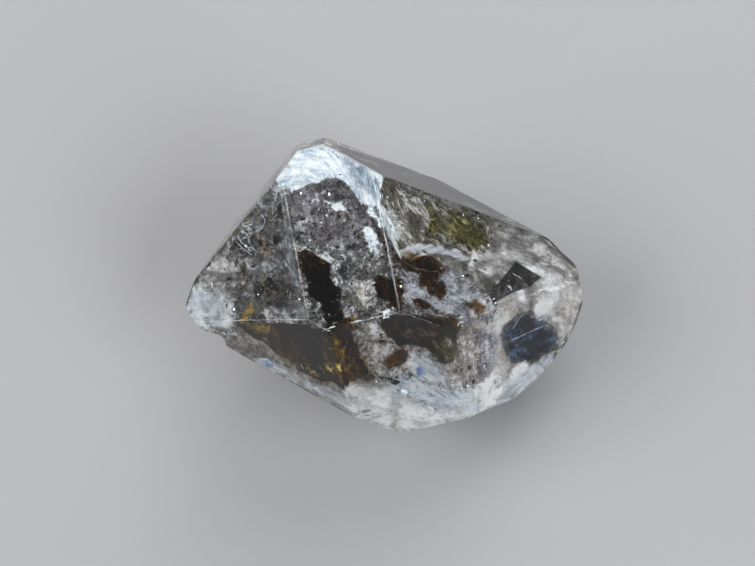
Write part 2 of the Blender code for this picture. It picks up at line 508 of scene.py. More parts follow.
def seen(flat, depth, face):
    """Places in mm that show at the given mm across and up: a ray from the camera is bent where it
    meets the plane of the face, and followed for the depth."""
    k = face_index(face)
    start = MIDDLE + flat[..., :1] * RIGHT + flat[..., 1:] * UP
    reach = (start @ NORMALS[k] - DISTANCES[k]) / (BACK @ NORMALS[k])
    depth = np.broadcast_to(depth, flat.shape[:-1])
    return start - reach[..., None] * BACK + depth[..., None] * bent_ray(NORMALS[k])


def waves(points, length, seed, count=20):
    """Smooth noise from -1 to 1: a sum of plane waves of about one length in random directions."""
    random = np.random.default_rng(seed)
    directions = unit(random.normal(size=(count, points.shape[-1])))
    pace = 2.0 * math.pi / length * random.uniform(0.6, 1.5, count)
    shift = random.uniform(0.0, 2.0 * math.pi, count)
    total = np.cos(points @ (directions * pace[:, None]).T + shift).sum(axis=-1)
    return np.tanh(total * math.sqrt(2.0 / count) * 0.7)


def held_inside(points, margin):
    """Moves points in mm that are nearer to the worn surface than the margin, or outside it, towards
    the crystal's middle."""
    skin = bpy.context.scene.quartz_skin
    points = points.copy()
    beyond = outside(points, skin.edge_wear, skin.tip_wear) + margin > 0.0
    low = np.zeros(beyond.sum())
    high = np.ones(beyond.sum())
    for _ in range(14):
        share = (low + high) / 2.0
        there = MIDDLE + share[:, None] * (points[beyond] - MIDDLE)
        over = outside(there, skin.edge_wear, skin.tip_wear) + margin > 0.0
        high = np.where(over, share, high)
        low = np.where(over, low, share)
    points[beyond] = MIDDLE + low[:, None] * (points[beyond] - MIDDLE)
    return points


def within(flat, corners):
    """True for points inside a roughened outline: a line from the point to the right crosses it an
    odd number of times."""
    flat = flat + 0.06 * np.stack([waves(flat, 0.5, 31), waves(flat, 0.5, 32)], axis=1)
    flat = flat + 0.03 * np.stack([waves(flat, 0.15, 33), waves(flat, 0.15, 34)], axis=1)
    rim = smooth_outline(from_pixels(corners), 64)
    after = np.roll(rim, -1, axis=0)
    across, up = flat[:, :1], flat[:, 1:]
    crosses = (rim[:, 1] > up) != (after[:, 1] > up)
    slope = (after[:, 0] - rim[:, 0]) / (after[:, 1] - rim[:, 1] + 1e-12)
    right_of = rim[:, 0] + (up - rim[:, 1]) * slope > across
    return (crosses & right_of).sum(axis=1) % 2 == 1


def add_piece(name, points_mm, faces, material, smooth=True, values=None, grain=None):
    """Puts a mesh given in mm into the scene, in metres, on the crystal's body. Values holds one
    number a point under each name, and grain is a two-column map of the surface in mm."""
    mesh = bpy.data.meshes.new(name)
    mesh.from_pydata((points_mm * MM).tolist(), [], faces)
    mesh.polygons.foreach_set("use_smooth", [smooth] * len(mesh.polygons))
    mesh.materials.append(material)
    for label, numbers in (values or {}).items():
        layer = mesh.attributes.new(label, "FLOAT", "POINT")
        layer.data.foreach_set("value", np.asarray(numbers, np.float32))
    if grain is not None:
        owners = np.empty(len(mesh.loops), np.int32)
        mesh.loops.foreach_get("vertex_index", owners)
        mesh.uv_layers.new(name="grain").data.foreach_set("uv", grain[owners].astype(np.float32).ravel())
    mesh.update()
    piece = bpy.data.objects.new(name, mesh)
    bpy.context.scene.collection.objects.link(piece)
    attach(piece, "root")
    return piece


def tidy_normals(piece, merge_mm=1e-4):
    """Merges doubled points and turns the faces of a closed mesh outwards."""
    shape = bmesh.new()
    shape.from_mesh(piece.data)
    bmesh.ops.remove_doubles(shape, verts=shape.verts[:], dist=merge_mm * MM)
    bmesh.ops.recalc_face_normals(shape, faces=shape.faces[:])
    shape.to_mesh(piece.data)
    shape.free()


def grid_faces(rows, columns, first=0, closed=True):
    """Quads between neighbouring rows of a grid, with the columns joined into rings if closed."""
    i = np.arange(rows - 1)[:, None]
    j = np.arange(columns if closed else columns - 1)[None, :]
    after = (j + 1) % columns
    quads = np.stack(np.broadcast_arrays(
        first + i * columns + j,
        first + i * columns + after,
        first + (i + 1) * columns + after,
        first + (i + 1) * columns + j,
    ), axis=-1)
    return quads.reshape(-1, 4).tolist()


def smooth_outline(corners, count):
    """A closed curve through given points: cubic pieces whose slope at a point follows its
    neighbours."""
    turn = np.arange(count) / count * len(corners)
    i = turn.astype(int)
    t = (turn - i)[:, None]
    p0, p1, p2, p3 = (corners[(i + shift) % len(corners)] for shift in (-1, 0, 1, 2))
    return cubic(p0, p1, p2, p3, t)


def smooth_path(corners, count):
    """An open curve through given points, by the same cubic pieces."""
    turn = np.linspace(0.0, len(corners) - 1.0, count)
    i = np.minimum(turn.astype(int), len(corners) - 2)
    t = (turn - i)[:, None]
    last = len(corners) - 1
    p0, p1, p2, p3 = (corners[np.clip(i + shift, 0, last)] for shift in (-1, 0, 1, 2))
    return cubic(p0, p1, p2, p3, t)


def cubic(p0, p1, p2, p3, t):
    return 0.5 * (
        2.0 * p1 + (p2 - p0) * t
        + (2.0 * p0 - 5.0 * p1 + 4.0 * p2 - p3) * t**2
        + (3.0 * p1 - p0 - 3.0 * p2 + p3) * t**3
    )


def turned(flat, degrees, stretch):
    """Flat mm turned so that the grain runs along the first column, which is then shortened."""
    turn = math.radians(degrees)
    along = flat @ np.array([math.cos(turn), math.sin(turn)])
    across = flat @ np.array([-math.sin(turn), math.cos(turn)])
    return np.stack([along / stretch, across], axis=-1)


# Materials

def new_material(name):
    """A material with a Principled shader on its output."""
    material = bpy.data.materials.new(name)
    material.use_nodes = True
    nodes = material.node_tree.nodes
    nodes.clear()
    output = nodes.new("ShaderNodeOutputMaterial")
    shader = nodes.new("ShaderNodeBsdfPrincipled")
    material.node_tree.links.new(shader.outputs["BSDF"], output.inputs["Surface"])
    return material, nodes, material.node_tree.links, shader, output


def noise_node(nodes, links, vector, scale, detail, roughness=0.55):
    noise = nodes.new("ShaderNodeTexNoise")
    noise.inputs["Scale"].default_value = scale
    noise.inputs["Detail"].default_value = detail
    noise.inputs["Roughness"].default_value = roughness
    links.new(vector, noise.inputs["Vector"])
    return noise


def range_node(nodes, links, value, low, high, to_low, to_high):
    span = nodes.new("ShaderNodeMapRange")
    span.inputs["From Min"].default_value = low
    span.inputs["From Max"].default_value = high
    span.inputs["To Min"].default_value = to_low
    span.inputs["To Max"].default_value = to_high
    links.new(value, span.inputs["Value"])
    return span


def math_node(nodes, links, operation, first, second):
    step = nodes.new("ShaderNodeMath")
    step.operation = operation
    for socket, value in zip(step.inputs, (first, second)):
        if isinstance(value, (int, float)):
            socket.default_value = value
        else:
            links.new(value, socket)
    return step.outputs[0]


def bump_node(nodes, links, height, strength, distance):
    bump = nodes.new("ShaderNodeBump")
    bump.inputs["Strength"].default_value = strength
    bump.inputs["Distance"].default_value = distance
    links.new(height, bump.inputs["Height"])
    return bump.outputs["Normal"]


def ramp_node(nodes, links, factor, colours):
    """Colours at even steps from 0 to 1."""
    ramp = nodes.new("ShaderNodeValToRGB")
    stops = ramp.color_ramp.elements
    while len(stops) < len(colours):
        stops.new(0.5)
    for k, colour in enumerate(colours):
        stops[k].position = k / (len(colours) - 1)
        stops[k].color = (*colour, 1.0)
    links.new(factor, ramp.inputs["Fac"])
    return ramp.outputs["Color"]


def crack_grain_group():
    """Patches and specks of a healed crack. Blotches and grains of noise on the grain map are added
    to the fade towards the rim; Cover is where the sum is high, and Tone is the grain with contrast
    plus wisps, which are thin lines where a third noise is at its middle level."""
    group = bpy.data.node_groups.get("crack_grain")
    if group:
        return group
    group = bpy.data.node_groups.new("crack_grain", "ShaderNodeTree")
    sockets = group.interface
    for label, default in (("Blotch Scale", 1.6), ("Grain Scale", 7.0), ("Amount", 0.3), ("Shift", 0.0),
                           ("Wisps", 0.3)):
        sockets.new_socket(name=label, in_out="INPUT", socket_type="NodeSocketFloat").default_value = default
    for label in ("Cover", "Tone", "Height"):
        sockets.new_socket(name=label, in_out="OUTPUT", socket_type="NodeSocketFloat")
    nodes, links = group.nodes, group.links
    given = nodes.new("NodeGroupInput")
    put_out = nodes.new("NodeGroupOutput")
    grain_map = nodes.new("ShaderNodeUVMap")
    grain_map.uv_map = "grain"
    fade = nodes.new("ShaderNodeAttribute")
    fade.attribute_name = "fade"
    moved = nodes.new("ShaderNodeVectorMath")
    moved.operation = "ADD"
    links.new(grain_map.outputs["UV"], moved.inputs[0])
    links.new(given.outputs["Shift"], moved.inputs[1])
    blotch = noise_node(nodes, links, moved.outputs[0], 1.6, 3.0, 0.6)
    links.new(given.outputs["Blotch Scale"], blotch.inputs["Scale"])
    blotch.inputs["Distortion"].default_value = 0.5
    grain = noise_node(nodes, links, moved.outputs[0], 7.0, 5.0, 0.68)
    links.new(given.outputs["Grain Scale"], grain.inputs["Scale"])
    grain.inputs["Distortion"].default_value = 0.8
    swirl = noise_node(nodes, links, moved.outputs[0], 3.0, 4.0, 0.6)
    links.new(math_node(nodes, links, "MULTIPLY", given.outputs["Grain Scale"], 0.42), swirl.inputs["Scale"])
    swirl.inputs["Distortion"].default_value = 1.6
    level = math_node(nodes, links, "SUBTRACT", swirl.outputs["Fac"], 0.5)
    gap = math_node(nodes, links, "ABSOLUTE", level, 0.0)
    line = range_node(nodes, links, gap, 0.0, 0.045, 1.0, 0.0).outputs["Result"]
    wisp = math_node(nodes, links, "MULTIPLY", line, given.outputs["Wisps"])
    both = math_node(nodes, links, "ADD", blotch.outputs["Fac"], grain.outputs["Fac"])
    lifted = math_node(nodes, links, "ADD", both, given.outputs["Amount"])
    thick = math_node(nodes, links, "ADD", lifted, math_node(nodes, links, "MULTIPLY", wisp, 0.4))
    total = math_node(nodes, links, "ADD", thick, fade.outputs["Fac"])
    cover = range_node(nodes, links, total, 1.85, 2.25, 0.0, 1.0)
    tone = range_node(nodes, links, both, 0.80, 1.24, 0.0, 1.0).outputs["Result"]
    links.new(cover.outputs["Result"], put_out.inputs["Cover"])
    links.new(math_node(nodes, links, "ADD", tone, wisp), put_out.inputs["Tone"])
    links.new(both, put_out.inputs["Height"])
    return group


def crack_material(name, colours, amount, strongest=1.0, blotch=1.6, grain=7.0, shift=0.0,
                   roughness=0.35, relief_mm=0.02, wisps=0.3, gloss=0.5):
    """A crack wall that shows as patches with tones from the first colour to the last, see-through
    between the patches."""
    material, nodes, links, shader, _ = new_material(name)
    pattern = nodes.new("ShaderNodeGroup")
    pattern.node_tree = crack_grain_group()
    pattern.inputs["Blotch Scale"].default_value = blotch
    pattern.inputs["Grain Scale"].default_value = grain
    pattern.inputs["Amount"].default_value = amount
    pattern.inputs["Shift"].default_value = shift
    pattern.inputs["Wisps"].default_value = wisps
    links.new(ramp_node(nodes, links, pattern.outputs["Tone"], colours), shader.inputs["Base Color"])
    cover = math_node(nodes, links, "MULTIPLY", pattern.outputs["Cover"], strongest)
    links.new(cover, shader.inputs["Alpha"])
    links.new(bump_node(nodes, links, pattern.outputs["Height"], 0.7, relief_mm * MM), shader.inputs["Normal"])
    shader.inputs["Roughness"].default_value = roughness
    shader.inputs["Specular IOR Level"].default_value = gloss
    return material


def quartz_material(tint):
    """Clear quartz: plain glass with etched and scratched patches and faint absorption."""
    material, nodes, links, shader, output = new_material("clear_quartz_skin")
    shader.inputs["Base Color"].default_value = (1.0, 1.0, 1.0, 1.0)
    shader.inputs["Metallic"].default_value = 0.0
    shader.inputs["IOR"].default_value = QUARTZ_IOR
    shader.inputs["Transmission Weight"].default_value = 1.0
    place = nodes.new("ShaderNodeTexCoord").outputs["Object"]
    etch = noise_node(nodes, links, place, 700.0, 5.0, 0.65)
    patch = range_node(nodes, links, etch.outputs["Fac"], 0.55, 0.80, 0.0, 0.12)
    edge = nodes.new("ShaderNodeAttribute")
    edge.attribute_name = "edge"
    frost = math_node(nodes, links, "MULTIPLY", edge.outputs["Fac"],
                      range_node(nodes, links, etch.outputs["Fac"], 0.42, 0.62, 0.0, 0.45).outputs["Result"])
    links.new(math_node(nodes, links, "MAXIMUM", patch.outputs["Result"], frost),
              shader.inputs["Roughness"])
    ripple = noise_node(nodes, links, place, 2600.0, 4.0)
    links.new(bump_node(nodes, links, ripple.outputs["Fac"], 0.12, 0.00002), shader.inputs["Normal"])
    absorb = nodes.new("ShaderNodeVolumeAbsorption")
    absorb.inputs["Color"].default_value = (*tint, 1.0)
    absorb.inputs["Density"].default_value = 60.0
    links.new(absorb.outputs["Volume"], output.inputs["Volume"])
    return material


def oil_material(name, colour, density, roughness=0.06):
    """Oil sealed in quartz: it bends light a little and absorbs with depth."""
    material, nodes, links, shader, output = new_material(name)
    shader.inputs["Base Color"].default_value = (1.0, 1.0, 1.0, 1.0)
    shader.inputs["Metallic"].default_value = 0.0
    shader.inputs["IOR"].default_value = 1.06
    shader.inputs["Transmission Weight"].default_value = 1.0
    place = nodes.new("ShaderNodeTexCoord").outputs["Object"]
    wrinkle = noise_node(nodes, links, place, 3200.0, 5.0, 0.6)
    haze = range_node(nodes, links, wrinkle.outputs["Fac"], 0.45, 0.75, 0.0, roughness)
    links.new(haze.outputs["Result"], shader.inputs["Roughness"])
    links.new(bump_node(nodes, links, wrinkle.outputs["Fac"], 0.9, 0.00010), shader.inputs["Normal"])
    absorb = nodes.new("ShaderNodeVolumeAbsorption")
    absorb.inputs["Color"].default_value = (*colour, 1.0)
    absorb.inputs["Density"].default_value = density
    links.new(absorb.outputs["Volume"], output.inputs["Volume"])
    return material


def flake_material(name, colours, roughness):
    """Platelets of a healed crack, each with its own tone from the first colour to the last."""
    material, nodes, links, shader, _ = new_material(name)
    tone = nodes.new("ShaderNodeAttribute")
    tone.attribute_name = "tone"
    links.new(ramp_node(nodes, links, tone.outputs["Fac"], colours), shader.inputs["Base Color"])
    shader.inputs["Roughness"].default_value = roughness
    shader.inputs["Specular IOR Level"].default_value = 0.8
    return material


def plain_material(name, colour, roughness):
    material, _, _, shader, _ = new_material(name)
    shader.inputs["Base Color"].default_value = (*colour, 1.0)
    shader.inputs["Roughness"].default_value = roughness
    return material


# Skin of the crystal

EDGE_STEP = 0.10
RING_STEP = 0.12
EDGE_RINGS = (0.0, 0.010, 0.022, 0.038, 0.06, 0.09, 0.13)
TIP_REACH = 1.0
EDGE_FROST = 0.022

# The break at the left tip: a wedge-shaped bite, its inner edge in mm from the middle, the direction
# of that edge, and the azimuths of its two walls.
BREAK_EDGE_AT = (-5.87, -0.65, 0.42)
BREAK_EDGE_ALONG = (0.104, -0.336, 0.936)
BREAK_WALLS_DEG = (147.9, -84.9)

# Shell-shaped chips: the two faces that meet at the edge, the photo's pixel across, radius and bite.
CHIPS = (
    (LEFT_TOP, LEFT_FRONT, 232, 0.30, 0.035),
    (LEFT_TOP, LEFT_FRONT, 252, 0.22, 0.025),
    (FRONT, LEFT_FRONT, 350, 0.22, 0.02),
    (TOP, LEFT_TOP, 296, 0.25, 0.02),
    (TOP, RIGHT_TOP, 388, 0.30, 0.018),
    (RIGHT_TOP, RIGHT_FRONT, 500, 0.35, 0.02),
    (RIGHT_TOP, RIGHT_FRONT, 553, 0.40, 0.03),
    (FRONT, RIGHT_FRONT, 458, 0.22, 0.02),
    (UNDER_FRONT, RIGHT_FRONT, 503, 0.16, 0.06),
    (UNDER_FRONT, FRONT, 441, 0.16, 0.05),
)


def clip_polygon(polygon, normal, distance):
    """The part of a flat convex outline that lies behind a plane."""
    heights = polygon @ normal - distance
    kept = []
    for i in range(len(polygon)):
        j = (i + 1) % len(polygon)
        if heights[i] <= 0.0:
            kept.append(polygon[i])
        if (heights[i] < 0.0) != (heights[j] < 0.0) and heights[i] != heights[j]:
            share = heights[i] / (heights[i] - heights[j])
            kept.append(polygon[i] + share * (polygon[j] - polygon[i]))
    return np.array(kept)


def face_outline(k):
    """Corners of one flat face: a large square on its plane, clipped by every other plane."""
    normal = NORMALS[k]
    side = unit(np.cross(normal, (0.3, 0.5, 0.8)))
    other = np.cross(normal, side)
    centre = normal * DISTANCES[k]
    polygon = np.array([centre + 40.0 * (x * side + y * other)
                        for x, y in ((-1, -1), (1, -1), (1, 1), (-1, 1))])
    for j in range(len(NORMALS)):
        if j != k:
            polygon = clip_polygon(polygon, NORMALS[j], DISTANCES[j])
            if len(polygon) < 3:
                return None
    apart = np.linalg.norm(polygon - np.roll(polygon, 1, axis=0), axis=1) > 1e-3
    return polygon[apart]


def edge_samples(outline):
    """Points at even steps along every edge, the same from either of the two faces that share it."""
    samples = []
    for i, start in enumerate(outline):
        end = outline[(i + 1) % len(outline)]
        count = max(2, math.ceil(np.linalg.norm(end - start) / EDGE_STEP - 0.01))
        share = np.arange(count)[:, None] / count
        samples.append(start + share * (end - start))
    return np.concatenate(samples)


def face_fan(k):
    """Rings from the edge of a face to its middle, crowded at the edge: (1 - t) * edge + t * middle."""
    outline = face_outline(k)
    if outline is None or len(outline) < 3:
        return None
    edge = edge_samples(outline)
    middle = edge.mean(axis=0)
    reach = np.linalg.norm(edge - middle, axis=1).mean()
    inner_rings = max(3, math.ceil(reach / RING_STEP))
    plain = np.linspace(EDGE_RINGS[-1] / reach, 1.0, inner_rings + 1)[1:-1]
    t = np.concatenate([np.array(EDGE_RINGS) / reach, plain])
    t = t[t < 1.0]
    rings = edge[None] + t[:, None, None] * (middle - edge)[None]
    points = np.concatenate([rings.reshape(-1, 3), middle[None]])
    faces = grid_faces(len(t), len(edge))
    last = (len(t) - 1) * len(edge)
    faces += [[last + j, last + (j + 1) % len(edge), len(points) - 1] for j in range(len(edge))]
    return points, faces


def steps(height, count):
    """A staircase: flat treads with smooth narrow risers."""
    scaled = height * count
    tread = np.floor(scaled)
    rise = np.clip((scaled - tread - 0.7) / 0.3, 0.0, 1.0)
    return (tread + rise**2 * (3.0 - 2.0 * rise)) / count


def relief(points):
    """Growth and etching in mm below the flat faces: low terraced hillocks, fine waviness, and
    growth lines across the long axis."""
    terraces = steps(0.5 + 0.5 * waves(points, 2.8, 11), 5.0) * 0.006
    fine = (1.0 + waves(points, 0.9, 12)) * 0.0012
    lines = (1.0 + waves(points[:, :1], 0.30, 14)) * 0.0006
    return terraces + fine + lines


def chip_balls():
    """Middles and radii of the balls whose surfaces the shell-shaped chips follow."""
    middles, radii = [], []
    for first, second, pixel, radius, bite in CHIPS:
        a, b = face_index(first), face_index(second)
        across = (pixel - MIDDLE_PIXEL[0]) * MM_PER_PIXEL
        place = np.linalg.solve(
            np.array([NORMALS[a], NORMALS[b], RIGHT]),
            np.array([DISTANCES[a], DISTANCES[b], MIDDLE @ RIGHT + across]),
        )
        middles.append(place + unit(NORMALS[a] + NORMALS[b]) * (radius - bite))
        radii.append(radius)
    return np.array(middles), np.array(radii)


def break_height(points):
    """Height in mm inside the wedge-shaped bite: the smaller distance from its two walls."""
    along = unit(np.array(BREAK_EDGE_ALONG))
    walls = []
    for azimuth_deg in BREAK_WALLS_DEG:
        azimuth = math.radians(azimuth_deg)
        wall = np.array([math.cos(azimuth), math.sin(azimuth), 0.0])
        walls.append(unit(wall - along * (wall @ along)))
    first = unit(walls[1] - walls[0] * (walls[1] @ walls[0]))
    second = unit(walls[0] - walls[1] * (walls[0] @ walls[1]))
    away = points - MIDDLE - np.array(BREAK_EDGE_AT)
    rough = 0.016 * waves(points, 0.45, 15) + 0.006 * waves(points, 0.16, 16)
    return np.minimum(away @ first, away @ second) - 0.01 + rough


def edge_nearness(points):
    """One on an edge, falling to nothing over a few hundredths of a mm: the smaller the gap between
    the two highest faces, the nearer the edge."""
    heights = np.partition(points @ NORMALS.T - DISTANCES, -2, axis=1)
    gap = heights[:, -1] - heights[:, -2]
    return np.exp(-((gap / EDGE_FROST) ** 2))


def outside(points, edge_wear, tip_wear):
    """Height in mm over the worn surface: a soft maximum of the heights over all flat faces, with
    the break and the chips taken away."""
    low, high = CAD_BOX[0][0] / MM, CAD_BOX[1][0] / MM
    near_tip = np.clip(1.0 - np.minimum(points[:, 0] - low, high - points[:, 0]) / TIP_REACH, 0, 1)
    patchy = np.clip(0.5 + 0.7 * waves(points, 0.7, 13), 0.0, 1.0)
    wear = edge_wear * (0.35 + 1.5 * patchy**2) + (tip_wear - edge_wear) * near_tip
    softness = np.maximum(wear, 0.003) / math.log(2.0)
    heights = points @ NORMALS.T - DISTANCES
    top = heights.max(axis=1)
    total = np.exp((heights - top[:, None]) / softness[:, None]).sum(axis=1)
    worn = top + softness * np.log(total)
    middles, radii = CHIP_BALLS
    away = np.linalg.norm(points[:, None] - middles[None], axis=2)
    bitten = (radii + 0.006 * waves(points, 0.22, 17)[:, None] - away).max(axis=1)
    return np.maximum(np.maximum(worn, bitten), break_height(points))


CHIP_BALLS = chip_balls()


def settle(points, edge_wear, tip_wear):
    """Slides each point towards the crystal's middle until it meets the worn surface."""
    low = np.full(len(points), 0.5)
    high = np.ones(len(points))
    depth = relief(points)
    for _ in range(24):
        share = (low + high) / 2.0
        there = MIDDLE + share[:, None] * (points - MIDDLE)
        over = outside(there, edge_wear, tip_wear) + depth > 0.0
        high = np.where(over, share, high)
        low = np.where(over, low, share)
    return MIDDLE + low[:, None] * (points - MIDDLE)


class QUARTZ_OT_skin(bpy.types.Operator):
    """Makes the outside of the crystal: flat faces with worn edges, terraces and small breaks"""
    bl_idname = "quartz.skin"
    bl_label = "Crystal Skin"

    def execute(self, context):
        settings = context.scene.quartz_skin
        points, faces = [], []
        count = 0
        for k in range(len(NORMALS)):
            fan = face_fan(k)
            if fan is None:
                continue
            points.append(fan[0])
            faces += [[count + i for i in face] for face in fan[1]]
            count += len(fan[0])
        worn = settle(np.concatenate(points), settings.edge_wear, settings.tip_wear)
        piece = add_piece("crystal_skin", worn, faces, quartz_material(settings.tint),
                          values={"edge": edge_nearness(worn)})
        tidy_normals(piece, 2e-4)
        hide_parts("crystal")
        return {"FINISHED"}


# Oil

RIM_STEPS = 112
BODY_RINGS = 18


def outline_rings(corners, rings, ragged, seed):
    """Flat mm inside an outline: rings from the middle to the roughened rim, with each point's share
    of the way to the rim and its distance from the rim in mm."""
    rim = smooth_outline(from_pixels(corners), RIM_STEPS)
    rim = rim + ragged * np.stack([waves(rim, 0.5, seed + 1), waves(rim, 0.5, seed + 2)], axis=1)
    rim = rim + 0.4 * ragged * np.stack([waves(rim, 0.15, seed + 6), waves(rim, 0.15, seed + 7)], axis=1)
    middle = rim.mean(axis=0)
    share = np.sin(np.linspace(0.0, math.pi / 2.0, rings))[1:]
    flat = middle + share[:, None, None] * (rim - middle)[None]
    flat = np.concatenate([middle[None], flat.reshape(-1, 2)])
    gap = np.linalg.norm(flat[:, None] - rim[None], axis=2).min(axis=1)
    return flat, np.concatenate([[0.0], np.repeat(share, RIM_STEPS)]), gap


def ring_faces(rings):
    tip = [[0, 1 + (j + 1) % RIM_STEPS, 1 + j] for j in range(RIM_STEPS)]
    return tip + grid_faces(rings - 1, RIM_STEPS, first=1)


def lens_body(name, corners, face, depth, thickness, material, tilt=(0.0, 0.0), ragged=0.05, seed=0,
              grain=(0.0, 1.0)):
    """A closed lobed lens that shows with the given outline behind a face. The half thickness is the
    thickness times the square root of one minus the squared share of the way to the rim, roughened
    by waves that run along the grain."""
    flat, share, _ = outline_rings(corners, BODY_RINGS, ragged, seed)
    full = np.sqrt(np.maximum(1.0 - share**2, 0.0))
    run = turned(flat, *grain)
    lumps = 1.0 + 0.40 * waves(run, 0.8, seed + 3) + 0.35 * waves(run, 0.22, seed + 4)
    away = flat - flat[0]
    sheet = depth + away @ np.array(tilt) + 0.10 * waves(flat, 1.6, seed + 5)
    half = thickness * full * np.maximum(lumps, 0.12)
    front = held_inside(seen(flat, np.maximum(sheet - half, 0.05), face), 0.05)
    rear = held_inside(seen(flat, np.maximum(sheet + half, 0.06), face), 0.07)
    one_side = ring_faces(BODY_RINGS)
    other_side = [[len(flat) + i for i in reversed(corner)] for corner in one_side]
    piece = add_piece(name, np.concatenate([front, rear]), one_side + other_side, material)
    tidy_normals(piece, 5e-4)
    return piece


class QUARTZ_OT_oil(bpy.types.Operator):
    """Makes the sealed oil: brown, red-brown and olive bodies, their stains, and yellow spots of painted
    highlight
    """
    bl_idname = "quartz.oil"
    bl_label = "Sealed Oil"

    def execute(self, context):
        settings = context.scene.quartz_oil
        brown = oil_material("brown_oil", settings.brown, 16000.0)
        red = oil_material("red_brown_oil", settings.red, 21000.0)
        amber = oil_material("amber_oil", settings.amber, 11000.0)
        olive = oil_material("olive_oil", settings.olive, 9000.0)
        lens_body("brown_oil_left", BROWN_OIL, LEFT_FRONT, 0.90, 0.34, brown, (0.10, 0.12), seed=20,
                  grain=(-55.0, 4.0))
        lens_body("brown_oil_long", LONG_OIL, TOP, 0.95, 0.45, brown, (0.1, -0.1), seed=30,
                  grain=(-60.0, 3.0), ragged=0.10)
        lens_body("brown_oil_middle", SECOND_OIL, FRONT, 0.82, 0.32, brown, (0.05, 0.1), seed=40)
        glaze = crack_material("oil_glaze", GLAZE, 0.55, 0.94, blotch=1.8, grain=8.0, shift=29.0,
                               roughness=0.2, wisps=0.12, gloss=0.05)
        glow = crack_material("amber_glow", AMBER_TONES, 0.24, 0.96, blotch=1.6, grain=6.0, shift=27.0,
                              roughness=0.15, gloss=0.1)
        gold = crack_material("golden_stain", GOLD, 0.30, 0.80, blotch=1.8, grain=5.0, shift=33.0,
                              gloss=0.2)
        amber_glaze = crack_material("amber_glaze", AMBER_GLAZE, 0.65, 0.96, blotch=0.9, grain=3.2,
                                     shift=35.0, roughness=0.2, wisps=0.15, gloss=0.05)
        olive_stain = crack_material("olive_stain", OLIVE_TONES, 0.22, 0.82, blotch=1.8, grain=7.0,
                                     shift=37.0, gloss=0.3)
        crack_sheet("brown_glaze_left", BROWN_OIL, LEFT_FRONT, 0.22, amber_glaze, swell=0.04, seed=470,
                    grain=(-60.0, 4.0), soft=0.12)
        crack_sheet("brown_glaze_middle", SECOND_OIL, FRONT, 0.20, glaze, swell=0.04, seed=474,
                    grain=(-25.0, 2.0), soft=0.12)
        crack_sheet("amber_glow", AMBER_GLOW, LEFT_FRONT, 0.16, glow, swell=0.03, seed=480,
                    grain=(-76.0, 4.0), soft=0.20)
        # Painted highlights: bright yellow where light comes through thin oil.
        bright = crack_material("painted_amber_highlight", AMBER_HIGHLIGHT, 0.50, 0.95, blotch=3.5, grain=12.0,
                                shift=45.0, roughness=0.15)
        for k, corners in enumerate(YELLOW_HIGHLIGHTS):
            crack_sheet(f"yellow_highlight_{k}", corners, LEFT_FRONT, 0.13, bright, swell=0.02,
                        seed=540 + 10 * k, grain=(-70.0, 2.0), ragged=0.07, soft=0.16)
        fringe = crack_material("oil_fringe", OLIVE_BROWN, 0.22, 0.60, blotch=1.5, grain=5.0, shift=47.0)
        crack_sheet("oil_fringe", OIL_FRINGE, LEFT_FRONT, 0.18, fringe, swell=0.03, seed=580,
                    grain=(-40.0, 2.0), soft=0.25)
        crack_sheet("oil_mottle", OIL_MOTTLE, FRONT, 0.14, fringe, swell=0.03, seed=590,
                    grain=(-40.0, 2.0), soft=0.25)
        crack_sheet("amber_lobe_glow", AMBER_LOBE, FRONT, 0.22, glow, swell=0.03, seed=484,
                    grain=(40.0, 2.0), soft=0.20)
        crack_sheet("olive_stain", OLIVE_ZONE, RIGHT_TOP, 0.30, olive_stain, swell=0.04, seed=486,
                    grain=(-35.0, 2.0), soft=0.60)
        crack_sheet("yellow_patch", YELLOW_PATCH, LEFT_FRONT, 0.14, gold, swell=0.03, seed=488, soft=0.15)
        crack_sheet("yellow_patch_above", YELLOW_SPOT, LEFT_TOP, 0.16, gold, swell=0.03, seed=489,
                    soft=0.15)
        lens_body("amber_lobe", AMBER_LOBE, FRONT, 0.45, 0.20, amber, seed=50)
        lens_body("dark_fluid", DARK_FLUID, TOP, 0.65, 0.48, brown, ragged=0.02, seed=60)
        lens_body("red_patch_upper", RED_UPPER, RIGHT_TOP, 0.40, 0.18, red, ragged=0.08, seed=70)
        lens_body("red_patch_middle", RED_MIDDLE, RIGHT_TOP, 0.42, 0.18, red, ragged=0.08, seed=80)
        lens_body("red_patch_lower", RED_LOWER, RIGHT_TOP, 0.40, 0.16, red, seed=90)
        lens_body("red_patch_right", RED_RIGHT, RIGHT_TOP, 0.40, 0.14, red, seed=100)
        lens_body("olive_patch", OLIVE_OIL, RIGHT_TOP, 0.45, 0.16, olive, ragged=0.12, seed=110)
        lens_body("olive_streak", OLIVE_STREAK, RIGHT_TOP, 0.45, 0.12, olive, ragged=0.12, seed=120)
        return {"FINISHED"}


# Healed cracks

SHEET_RINGS = 30
CLEAR_BORDER = 0.16


